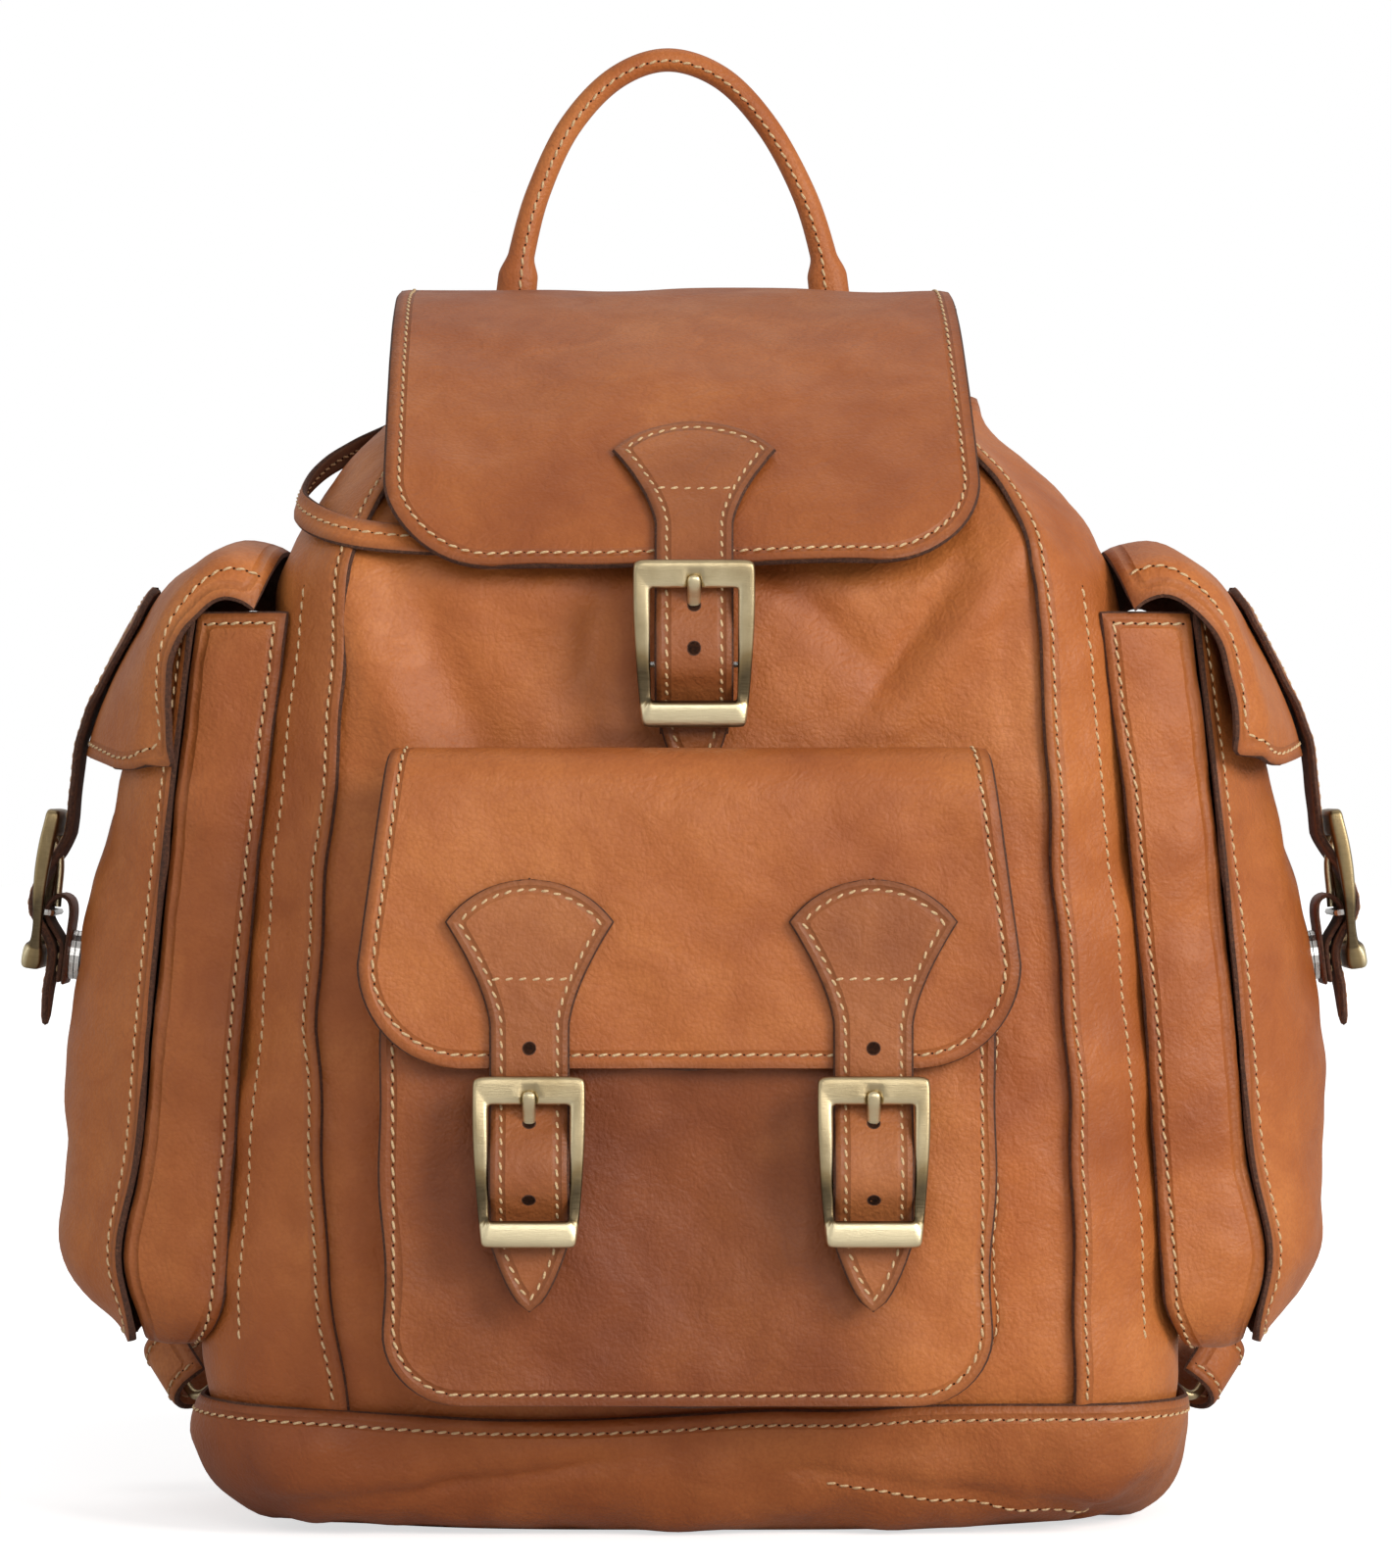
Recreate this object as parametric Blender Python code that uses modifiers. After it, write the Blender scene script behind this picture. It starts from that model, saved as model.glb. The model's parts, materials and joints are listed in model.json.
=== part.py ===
"""Leather backpack: a gusseted bag body on a base pan, one front and two side
pockets, four flaps, five buckled straps with a magnetic snap behind each, a
rolled carry handle and two shoulder straps.

Lengths are in millimetres until an object is built, then metres.  +X is the
bag's left-to-right seen from the front, -Y is its front, +Z is up.  Profiles
are drawn as (d, z), where d is the distance out from the bag's middle plane.
"""
import bpy
import bmesh
import numpy as np
from math import cos, sin, pi, radians, sqrt, hypot, atan2
from mathutils import Matrix, Vector

MM = 0.001
GAP = 0.3                      # air between two pieces that touch

# leather and metal stock
LEATHER = 3.0                  # body panels and flaps
STRAP_THICK = 3.0              # buckled straps, two layers sewn together
STRAP_WIDE = 23.0
CHAPE_THICK = 1.5
CHAPE_WIDE = 21.0
BAR_RADIUS = 1.0
PRONG_WIDE = 3.2
PRONG_THICK = 2.0
SNAP_RADIUS = 8.0
SNAP_THICK = 1.4
HOLE_RADIUS = 1.7

# bag body: height, half width, front distance, at each level
LEVELS = np.array([40.0, 110.0, 174.0, 238.0, 302.0, 322.0, 342.0, 354.0, 372.0])
HALF_WIDTHS = np.array([157.0, 153.0, 148.0, 141.5, 134.0, 126.0, 111.0, 97.0, 92.0])
FRONTS = np.array([75.0, 75.5, 76.0, 76.0, 75.0, 60.0, 41.0, 26.0, 20.0])
BACK = 75.0
FRONT_CORNER = 38.0
BACK_CORNER = 25.0
BASE_HEIGHT = 40.0
BASE_ROUND = 20.0
BACK_TOP = 398.0
SEAM_GAP = 0.5                 # air between two body panels at their seam
FRONT_SEAM = 0.32              # share of the half girth where the front panel ends
BACK_SEAM = 0.75               # share where the back panel starts
LOOP_OUT = 18.0                # how far the drawstring's slack loop stands out

# front pocket
POCKET_HALF = 95.0
POCKET_BOTTOM = 46.0
POCKET_TOP = 226.0
POCKET_CORNER = 24.0
POCKET_SEAM = 109.0            # distance out to the gusset's front rim
POCKET_FACE = POCKET_SEAM + GAP + LEATHER
FRONT_FLAP_HALF = POCKET_HALF - 5.0    # half the pocket flap's width at its fold

# side pockets
SIDE_HALF = 54.0
SIDE_MIDDLE = -3.0             # the pocket's middle along Y
SIDE_BOTTOM = 60.0
SIDE_TOP = 293.0
SIDE_CORNER = 16.0
SIDE_SEAM = 22.0               # gusset depth
SIDE_BULGE = 28.0

# flap hinges as (d, z)
MAIN_HINGE = (-76.8, 401.5)
POCKET_HINGE = (96.5, 247.5)
SIDE_HINGE_Z = 312.0
SIDE_DROOP = 15.0              # how far a side flap's edges hang in at its free end
DROOP_POWER = 2.6

# buckles, measured from the bar that carries them
FRAME_TOP = 33.4
FRAME_BOTTOM = -19.0
TOP_BAR = 8.7
BOTTOM_BAR = 8.2
FRAME_HALF = 17.3
WINDOW_HALF = 12.5
MAIN_FRAME_EXTRA = 1.7         # the top buckle is wider by this on each side
SNAP_BELOW = 13.0              # snap centre below the bar

# handle
HANDLE_RADIUS = 4.8
HANDLE_LOW = 388.0

# strap rings at the bottom corners, and the shoulder straps through them
RING_WIRE = 1.7
RING_LONG = 28.0               # along the two bars that carry leather
RING_SHORT = 20.0
RING_CORNER = 4.0
RING_CENTRE = (167.5, 80.0, 45.0)
RING_OUT = (0.8, -0.6)         # (x, z) from the bag's corner towards the strap
TAB_WIDE = 20.0
TAB_THICK = 1.5
TAB_EYE = 3.3
TAB_REST = 0.9                 # air between the ring's bar and the tab's end
TAB_LONG = 28.0
SHOULDER_THICK = 3.0
SHOULDER_WIDE = 36.0
SHOULDER_END_WIDE = 20.0
SHOULDER_LOOP = 6.8
SHOULDER_TOP_GAP = 2.0

COLLECTION = bpy.data.collections.new("leather_backpack")
CUTTERS = bpy.data.collections.new("cutters")


def clear_scene():
    for item in list(bpy.data.objects):
        bpy.data.objects.remove(item, do_unlink=True)
    bpy.context.scene.collection.children.link(COLLECTION)
    bpy.context.scene.collection.children.link(CUTTERS)


# ---------------------------------------------------------------- materials
def material(name, colour, roughness, metallic):
    made = bpy.data.materials.new(name)
    made.use_nodes = True
    shader = made.node_tree.nodes["Principled BSDF"]
    shader.inputs["Base Color"].default_value = (*colour, 1.0)
    shader.inputs["Roughness"].default_value = roughness
    shader.inputs["Metallic"].default_value = metallic
    made.diffuse_color = (*colour, 1.0)
    return made


TAN = material("tan_leather", (0.46, 0.18, 0.06), 0.5, 0.0)
DARK_TAN = material("dark_tan_leather", (0.33, 0.12, 0.045), 0.55, 0.0)
BRASS = material("antique_brass", (0.62, 0.52, 0.31), 0.3, 1.0)
STEEL = material("nickel_steel", (0.7, 0.7, 0.68), 0.25, 1.0)


# ---------------------------------------------------------------- builders
def add_object(name, mesh, made_of, collection=COLLECTION):
    item = bpy.data.objects.new(name, mesh)
    item.data.materials.append(made_of)
    collection.objects.link(item)
    return item


def solidify(item, thickness):
    step = item.modifiers.new("thickness", "SOLIDIFY")
    step.thickness = thickness * MM
    step.offset = 0.0
    step.use_even_offset = True
    step.use_quality_normals = True


def set_origin(item, point):
    """Move the object's origin to a point in millimetres and keep the mesh."""
    place = Vector(point) * MM
    item.data.transform(Matrix.Translation(-place))
    item.location = place


def sheet(name, formula, us, vs, thickness, made_of):
    """A leather panel: a grid whose middle surface is formula(u, v), thickened.

    The grid has a column at each of us and a row at each of vs.
    """
    mesh = bpy.data.meshes.new(name)
    grid = bmesh.new()
    columns, rows = len(us) - 1, len(vs) - 1
    bmesh.ops.create_grid(grid, x_segments=columns, y_segments=rows, size=1.0)
    for vert in grid.verts:
        column, row = round((vert.co.x + 1) / 2 * columns), round((vert.co.y + 1) / 2 * rows)
        vert.co = Vector(formula(us[column], vs[row])) * MM
    grid.to_mesh(mesh)
    grid.free()
    item = add_object(name, mesh, made_of)
    solidify(item, thickness)
    return item


def hooked_plate(name, outer, inner, tail, half_depth, made_of):
    """A flat plate in its own XY plane: a ring between two open loops of the same
    count, closed by a tail whose outline runs from the outer loop's end to its start."""
    mesh = bpy.data.meshes.new(name)
    build = bmesh.new()
    faces, loops = [], []
    for z in (-half_depth, half_depth):
        outer_row, inner_row, tail_row = (
            [build.verts.new(Vector((x, y, z)) * MM) for x, y in row] for row in (outer, inner, tail))
        for k in range(len(outer) - 1):
            faces.append((outer_row[k], outer_row[k + 1], inner_row[k + 1], inner_row[k]))
        faces.append([outer_row[-1]] + tail_row + [outer_row[0], inner_row[0], inner_row[-1]])
        loops.append((outer_row + tail_row, inner_row))
    for low, high in zip(*loops):
        for k in range(len(low)):
            after = (k + 1) % len(low)
            faces.append((low[k], low[after], high[after], high[k]))
    for face in faces:
        build.faces.new(face)
    bmesh.ops.recalc_face_normals(build, faces=build.faces)
    build.to_mesh(mesh)
    build.free()
    return add_object(name, mesh, made_of)


def tube(name, points, radius, made_of, sides=3, closed=False, taper=None):
    """A round bar along points in millimetres."""
    curve = bpy.data.curves.new(name, "CURVE")
    curve.dimensions = "3D"
    curve.bevel_depth = radius * MM
    curve.bevel_resolution = sides
    curve.use_fill_caps = not closed
    spline = curve.splines.new("POLY")
    spline.points.add(len(points) - 1)
    for index, (point, place) in enumerate(zip(spline.points, points)):
        point.co = (*(Vector(place) * MM), 1.0)
        if taper is not None:
            point.radius = taper[index]
    spline.use_cyclic_u = closed
    item = bpy.data.objects.new(name, curve)
    curve.materials.append(made_of)
    COLLECTION.objects.link(item)
    return item


def cut(item, cutter):
    cutter.hide_render = True
    cutter.display_type = "WIRE"
    step = item.modifiers.new("cut", "BOOLEAN")
    step.operation = "DIFFERENCE"
    step.solver = "EXACT"
    step.object = cutter


def rod_cutter(name, places, matrix):
    """One cutter made of rods: each place is (x, y, n, tilt, radius, stretch)."""
    mesh = bpy.data.meshes.new(name)
    rods = bmesh.new()
    for x, y, n, tilt, radius, stretch in places:
        turn = Matrix.Rotation(tilt, 4, "X") @ Matrix.Diagonal((1.0, stretch, 1.0, 1.0))
        bmesh.ops.create_cone(
            rods, cap_ends=True, segments=14, radius1=radius * MM, radius2=radius * MM,
            depth=8.0 * MM, matrix=Matrix.Translation(Vector((x, y, n)) * MM) @ turn)
    rods.to_mesh(mesh)
    rods.free()
    cutter = add_object(name, mesh, STEEL, CUTTERS)
    cutter.matrix_world = matrix
    return cutter


# ---------------------------------------------------------------- curves
def smooth(points, count):
    """Even points along a Catmull-Rom curve through the given points."""
    knots = np.array(points, float)
    ends = np.vstack([2 * knots[0] - knots[1], knots, 2 * knots[-1] - knots[-2]])
    fine = []
    for a, b, c, d in zip(ends, ends[1:], ends[2:], ends[3:]):
        for t in np.linspace(0, 1, 16, endpoint=False):
            fine.append(0.5 * (2 * b + (c - a) * t + (2 * a - 5 * b + 4 * c - d) * t ** 2
                               + (3 * b - a - 3 * c + d) * t ** 3))
    fine.append(knots[-1])
    fine = np.array(fine)
    length = np.concatenate([[0], np.cumsum(np.linalg.norm(np.diff(fine, axis=0), axis=1))])
    if np.isscalar(count):
        count = np.linspace(0, 1, count)
    wanted = np.array(count) * length[-1]
    return np.stack([np.interp(wanted, length, fine[:, k]) for k in range(fine.shape[1])], 1)


def lengths(path):
    return np.concatenate([[0], np.cumsum(np.linalg.norm(np.diff(path, axis=0), axis=1))])


def offset_path(path, distance):
    """A (d, z) path moved by distance to its outer side, left of its direction."""
    step = np.gradient(path, axis=0)
    step /= np.linalg.norm(step, axis=1)[:, None]
    return path + distance * np.stack([-step[:, 1], step[:, 0]], 1)


# ---------------------------------------------------------------- bag body
def half_width(z):
    return float(np.interp(z, LEVELS, HALF_WIDTHS))


def front(z):
    return float(np.interp(z, LEVELS, FRONTS))


def girth_point(z, t, inset=0.0):
    """Point of the body's outline at height z; t runs 0 at mid front to 1 at mid
    back, negative on the left."""
    side, t = (1 if t >= 0 else -1), abs(t)
    wide = half_width(z) - inset
    near, far = front(z) - inset, BACK - inset
    turn = min(FRONT_CORNER, (near + far) * 0.45) - inset
    rear = BACK_CORNER - inset
    if t < 0.3:
        x, y = (wide - turn) * t / 0.3, -near
    elif t < 0.5:
        angle = (t - 0.3) / 0.2 * pi / 2
        x, y = wide - turn + turn * sin(angle), -near + turn - turn * cos(angle)
    elif t < 0.7:
        share = (t - 0.5) / 0.2
        x, y = wide, (-near + turn) * (1 - share) + (far - rear) * share
    elif t < 0.8:
        angle = (t - 0.7) / 0.1 * pi / 2
        x, y = wide - rear + rear * cos(angle), far - rear + rear * sin(angle)
    else:
        x, y = (wide - rear) * (1 - t) / 0.2, far
    return side * x, y


def side_distance(y, z):
    """How far out the body's side is at a place along Y."""
    turn = min(FRONT_CORNER, (front(z) + BACK) * 0.45)
    over = max(0.0, -y - (front(z) - turn), 0.0)
    behind = max(0.0, y - (BACK - BACK_CORNER))
    drop = turn - sqrt(turn ** 2 - min(over, turn) ** 2)
    drop += BACK_CORNER - sqrt(BACK_CORNER ** 2 - behind ** 2)
    return half_width(z) - drop


def girth_ring():
    """Places all round the body's girth."""
    half = [0.0, 0.1, 0.2, 0.3, FRONT_SEAM, 0.34, 0.38, 0.42, 0.46, 0.5, 0.6, 0.7, 0.72, BACK_SEAM, 0.77, 0.8,
            0.9, 1.0]
    return half + [-t for t in reversed(half[1:-1])]


def body_heights(top):
    """Rows of a body panel: at every level, with one more between the wide ones."""
    rows = [BASE_HEIGHT + GAP] + [level for level in LEVELS[1:] if level < top] + [top]
    middles = [(a + b) / 2 for a, b in zip(rows, rows[1:]) if b - a > 50]
    return sorted(rows + middles)


def body_panel(name, ts, top):
    """A panel of the body between places on its girth, from the base to the top."""

    def formula(t, z):
        return *girth_point(min(z, LEVELS[-1]), t, LEATHER / 2), z

    sheet(name, formula, ts, body_heights(top), LEATHER, TAN)


def build_body():
    front_gap = SEAM_GAP / (FRONT_CORNER * pi / 2 / 0.2)
    back_gap = SEAM_GAP / (BACK_CORNER * pi / 2 / 0.1)
    half_front = [0.1, 0.2, 0.3, FRONT_SEAM]
    body_panel("front_panel", [-t for t in reversed(half_front)] + [0.0] + half_front, LEVELS[-1])
    gusset = [FRONT_SEAM + front_gap, 0.34, 0.38, 0.42, 0.46, 0.5, 0.6, 0.7, 0.72, 0.74, BACK_SEAM - back_gap]
    body_panel("side_gusset_right", gusset, LEVELS[-1])
    body_panel("side_gusset_left", [-t for t in gusset], LEVELS[-1])
    half_back = [BACK_SEAM, 0.76, 0.78, 0.8, 0.9, 1.0]
    body_panel("back_panel", half_back + [-t for t in reversed(half_back[:-1])], BACK_TOP)


def build_base():
    """The base pan: a rounded tray whose rim carries the body's panels."""
    steps = [(BASE_HEIGHT, 0.0)]
    for angle in np.linspace(0, pi / 2, 4):
        steps.append((LEATHER / 2 + (BASE_ROUND) * (1 - sin(angle)), BASE_ROUND * (1 - cos(angle))))
    ring = girth_ring()
    mesh = bpy.data.meshes.new("base_pan")
    pan = bmesh.new()
    loops = []
    for z, inset in steps:
        row = []
        for t in ring:
            x, y = girth_point(BASE_HEIGHT, t, LEATHER / 2 + inset)
            row.append(pan.verts.new(Vector((x, y, z)) * MM))
        loops.append(row)
    for upper, lower in zip(loops, loops[1:]):
        for k in range(len(ring)):
            after = (k + 1) % len(ring)
            pan.faces.new((upper[k], upper[after], lower[after], lower[k]))
    pan.faces.new(loops[-1])
    bmesh.ops.recalc_face_normals(pan, faces=pan.faces)
    pan.to_mesh(mesh)
    pan.free()
    solidify(add_object("base_pan", mesh, TAN), LEATHER)


def build_drawstring():
    """The flat strip drawn round the neck, from one back seam to the other, with
    a slack loop on the left."""
    wide, thick = 10.0, 2.0
    spread = [0.0, 0.1, 0.2, 0.3, FRONT_SEAM, 0.34, 0.38, 0.42, 0.46, 0.5, 0.55, 0.6, 0.65, 0.7, 0.72]
    ring = [-t for t in reversed(spread[1:])] + spread

    def formula(t, share):
        level = np.interp(abs(t), [0.0, 0.3, 0.62, 0.75], [330.0, 334.0, 352.0, 360.0])
        lift = 1.5 * (GAP + thick / 2) + 2.5 + LOOP_OUT * np.exp(-((t + 0.5) / 0.07) ** 2)
        return *girth_point(level + share * wide / 2, t, -lift), level + share * wide / 2

    sheet("mouth_strip", formula, ring, (-1, 0, 1), thick, DARK_TAN)


# ---------------------------------------------------------------- pockets
def pouch_outline(half, bottom, top, corner, count=6):
    """U-shaped outline of a pocket from its top left round to its top right."""
    start = bottom + corner
    between = [z for z in LEVELS[::-1] if start + 8 < z < top - 8]
    left = [(-half, z) for z in (top, *between, (between[-1] + start) / 2, start)]
    arc = [(-half + corner - corner * cos(a), bottom + corner - corner * sin(a))
           for a in np.linspace(0, pi / 2, count)[1:]]
    half_way = left + arc
    return half_way + [(-x, z) for x, z in reversed(half_way)]


def pouch_half(z, half, bottom, corner):
    """Half width of the pocket's face at a height."""
    rise = max(0.0, corner - (z - bottom))
    return half - corner + sqrt(max(0.0, corner ** 2 - rise ** 2))


def pouch_gusset(name, outline, base, seam, place, made_of):
    """The strip that joins a pocket's face to the bag."""

    def formula(point, v):
        x, z = point
        near, far = base(x, z), seam(x, z)
        return place(x, near + (far - near) * v, z)

    return sheet(name, formula, outline, (0.0, 0.5, 1.0), LEATHER, made_of)


def pouch_face(name, rows, columns, half_at, distance, place, made_of):
    """The pocket's face; distance(share, z) gives how far out it is."""

    def formula(share, z):
        return place(share * half_at(z), distance(share, z), z)

    return sheet(name, formula, columns, rows, LEATHER, made_of)


def corner_rows(bottom, corner, top, between):
    rows = [bottom + corner * (1 - cos(a)) for a in np.linspace(0, pi / 2, 5)]
    return rows + list(np.linspace(rows[-1], top, between + 1)[1:])


def place_front(x, d, z):
    return x, -d, z


def place_side(side):
    def place(x, d, z):
        return side * d, SIDE_MIDDLE + x, z
    return place


def build_front_pocket():
    outline = pouch_outline(POCKET_HALF - LEATHER / 2, POCKET_BOTTOM + LEATHER / 2, POCKET_TOP, POCKET_CORNER)
    pouch_gusset("front_pocket_gusset", outline, lambda x, z: front(z) + 2 * GAP,
                 lambda x, z: POCKET_SEAM, place_front, DARK_TAN)
    rows = corner_rows(POCKET_BOTTOM, POCKET_CORNER, POCKET_TOP, 2)
    middle = POCKET_FACE - LEATHER / 2
    pouch_face("front_pocket_panel", rows, (-1, -0.5, 0, 0.5, 1),
               lambda z: pouch_half(z, POCKET_HALF, POCKET_BOTTOM, POCKET_CORNER),
               lambda share, z: middle, place_front, TAN)


def side_foot(x, z):
    """Where the gusset's edge meets the body: clear of it over its own thickness."""
    y = SIDE_MIDDLE + x
    return max(side_distance(y - LEATHER / 2, z), side_distance(y + LEATHER / 2, z)) + 2 * GAP


def side_seam(x, z):
    return half_width(z) + SIDE_SEAM


def side_bulge(z):
    """How far the side pocket's face stands out past its seam, at mid width."""
    heights = [SIDE_BOTTOM, 80.0, 110.0, 150.0, 200.0, 247.0, 263.0, 289.0, SIDE_TOP]
    shares = [0.45, 0.72, 0.92, 1.0, 0.93, 0.68, 0.55, 0.26, 0.2]
    return SIDE_BULGE * float(np.interp(z, heights, shares))


def side_face(share, z):
    """Distance of the middle surface of a side pocket's face."""
    rim = side_seam(0, z) + GAP + LEATHER / 2
    return rim + side_bulge(z) * (1 - abs(share) ** 2.6)


def build_side_pocket(side, name):
    place = place_side(side)
    outline = pouch_outline(SIDE_HALF - LEATHER / 2, SIDE_BOTTOM + LEATHER / 2, SIDE_TOP, SIDE_CORNER, 5)
    pouch_gusset("side_pocket_gusset_" + name, outline,
                 side_foot, side_seam, place, DARK_TAN)
    rows = corner_rows(SIDE_BOTTOM, SIDE_CORNER, SIDE_TOP, 5)
    pouch_face("side_pocket_panel_" + name, rows, (-1, -0.88, -0.7, -0.4, 0, 0.4, 0.7, 0.88, 1),
               lambda z: pouch_half(z, SIDE_HALF, SIDE_BOTTOM, SIDE_CORNER), side_face, place, TAN)


# ---------------------------------------------------------------- flaps
def flap_half(s, total, top, widest, corner):
    """Half width of a flap at s along it: widening, then rounded lower corners."""
    half = top + (widest - top) * min(1.0, s / (total - corner))
    left = total - s
    if left < corner:
        half -= corner - sqrt(max(0.0, corner ** 2 - (corner - left) ** 2))
    return half


def flap(name, path, count, top, widest, corner, place, droop=0.0, columns=7):
    """A flap along a (d, z) path, from its hinge to its free edge; droop is how far
    its side edges hang in towards the bag at the free end."""
    shares = np.concatenate([np.linspace(0, 0.7, count), 0.7 + 0.3 * np.sin(np.linspace(0, pi / 2, 7))[1:]])
    centre = smooth(path, shares)
    along = lengths(centre)

    def formula(share, row):
        half = flap_half(along[row], along[-1], top, widest, corner)
        d, z = centre[row]
        return place(share * half, d - droop * (along[row] / along[-1]) * abs(share) ** DROOP_POWER, z)

    return sheet(name, formula, np.linspace(-1, 1, columns), range(len(centre)), LEATHER, TAN)


MAIN_PATH = [MAIN_HINGE, (-69.0, 402.6), (-58.0, 402.6), (-30.0, 398.3), (0.0, 387.2), (29.0, 368.8),
             (56.8, 344.0), (76.8, 321.0), (86.7, 306.5)]
POCKET_PATH = [POCKET_HINGE, (103.0, 247.6), (109.5, 244.2), (113.4, 236.5), (115.4, 222.0),
               (116.6, 198.0), (117.2, 172.0), (117.6, 150.5)]
ROOT_PATH = [(78.0, 222.0), (78.0, 230.0), (81.2, 236.5), (87.2, 242.2), (94.6, 246.4)]


def side_path():
    start = side_distance(0, SIDE_HINGE_Z) + GAP + LEATHER / 2 + 0.2
    return [(start, SIDE_HINGE_Z), (start + 7, SIDE_HINGE_Z + 2.6), (start + 15, SIDE_HINGE_Z + 3.4),
            (start + 24, SIDE_HINGE_Z), (168.5, 303.0), (177.5, 290.5), (186.5, 274.0), (193.0, 259.0),
            (196.5, 247.0)]


# ---------------------------------------------------------------- closures
class Closure:
    """One buckled strap: where its bar sits, how it leans and what carries it.

    Its own axes are x across the strap, y up along it and n outwards; heading
    turns it from the front (0) to the left or right side of the bag.
    """

    def __init__(self, name, across, bar, lean, rest, heading, flap_path, fan_drop, extra, tip):
        self.name, self.across, self.bar = name, across, bar
        self.lean, self.rest, self.heading = radians(lean), radians(rest), radians(heading)
        self.flap_path, self.fan_drop, self.extra, self.tip = flap_path, fan_drop, extra, tip

    def place(self, x, d, z):
        """World place of a point x beside the strap's middle, at (d, z)."""
        return Matrix.Rotation(self.heading, 4, "Z") @ Vector((self.across + x, -d, z))

    def matrix(self, lean):
        """World placement of the closure's axes, leaning back by lean."""
        spin = Matrix.Rotation(self.heading, 4, "Z")
        return Matrix.Translation(self.place(0, *self.bar) * MM) @ spin @ Matrix.Rotation(pi / 2 - lean, 4, "X")

    def profile(self, n, y, lean):
        """A place beside the bar as (d, z)."""
        d, z = self.bar
        return d + n * cos(lean) - y * sin(lean), z + y * cos(lean) + n * sin(lean)


# the strap's middle line past the buckle, as (n, y) from the bar
STRAP_LINE = [(-1.2, 29.0), (-0.9, 25.0), (1.2, 19.8), (4.6, 13.5), (6.8, 7.0), (7.2, 2.0),
              (6.1, -1.5), (2.8, -5.6), (0.0, -9.4), (-1.3, -13.0), (-1.4, -18.0)]
PRONG_LINE = [(0.1, 1.8), (0.6, 8.0), (1.9, 14.0), (3.3, 19.0), (4.5, 24.0), (4.75, 27.9)]
FAN_PEAK, FAN_WIDE, FAN_LONG = 13.0, 25.2, 37.0
TIP_LONG = 21.0


def fan_half(s, left):
    """Half width of a strap at s from its sewn end, left from its tip."""
    half = STRAP_WIDE / 2
    if s < FAN_PEAK:
        radius = (FAN_WIDE ** 2 + FAN_PEAK ** 2) / (2 * FAN_PEAK)
        half = max(1.5, sqrt(radius ** 2 - (radius - s) ** 2))
    elif s < FAN_LONG:
        half += (FAN_WIDE - half) * (1 - (s - FAN_PEAK) / (FAN_LONG - FAN_PEAK)) ** 1.7
    if left < TIP_LONG:
        half = min(half, max(1.2, STRAP_WIDE / 2 * (left / TIP_LONG) ** 0.6))
    return half


def strap_path(closure):
    """(d, z) of the strap's middle line: along the flap, then past the buckle."""
    flap_line = smooth(closure.flap_path, 60)
    outer = offset_path(flap_line, LEATHER / 2 + GAP + STRAP_THICK / 2)
    along = lengths(flap_line)
    start = along[-1] - closure.fan_drop
    keep = [[np.interp(s, along, outer[:, k]) for k in (0, 1)] for s in np.linspace(start, along[-1] - 1, 9)]
    below = [closure.profile(n, y, closure.lean) for n, y in STRAP_LINE]
    below = [p for p in below if p[1] < keep[-1][1] - 4]
    return keep + below + closure.tip


def build_strap(closure):
    knots = strap_path(closure)
    fine = smooth(knots, 400)
    total = lengths(fine)[-1]
    fan = np.array([0, 1.5, 5, 9, 13, 17, 22, 29, 37]) / total
    tip = 1 - np.array([21, 15, 9, 4, 0]) / total
    middle = np.linspace(fan[-1], tip[0], 19)[1:-1]
    shares = np.concatenate([fan, middle, tip])
    centre = smooth(knots, shares)
    along = shares * total

    def formula(share, row):
        half = fan_half(along[row], total - along[row])
        return closure.place(share * half, *centre[row])

    item = sheet("strap_" + closure.name, formula, (-1, 0, 1), range(len(centre)), STRAP_THICK, DARK_TAN)
    holes = [(0, 17.4, 2.8, radians(-28), 2.3, 2.7), (0, -3.6, 4.6, radians(45), HOLE_RADIUS, 1.0)]
    cut(item, rod_cutter("holes_" + closure.name, holes, closure.matrix(closure.lean)))
    return item


def frame_stations(half, window):
    """Outer point, inner point, middle n and half thickness, round the right half."""
    top, bottom = FRAME_TOP, FRAME_BOTTOM
    lip, sill = top - TOP_BAR, bottom + BOTTOM_BAR
    return [
        ((0.0, top), (0.0, lip), 3.75, 2.35),
        ((half - 2.4, top), (window - 0.8, lip), 3.75, 2.35),
        ((half - 0.5, top - 0.7), (window - 0.2, lip - 0.2), 3.75, 2.35),
        ((half, top - 2.4), (window, lip - 0.8), 3.8, 2.35),
        ((half, 17.0), (window, 15.0), 5.2, 2.45),
        ((half - 0.6, 6.0), (window, 5.0), 5.1, 1.95),
        ((half - 1.3, -4.0), (window - 0.1, -4.0), 4.2, 1.4),
        ((half - 1.9, sill + 0.2), (window - 0.2, sill + 1.2), 4.0, 1.7),
        ((half - 2.4, bottom + 4.2), (window - 0.4, sill + 0.3), 4.6, 2.9),
        ((half - 3.2, bottom + 0.9), (window - 0.9, sill), 4.7, 3.3),
        ((half - 4.6, bottom), (window - 1.8, sill), 4.7, 3.3),
        ((0.0, bottom), (0.0, sill), 4.7, 3.3),
    ]


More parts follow.
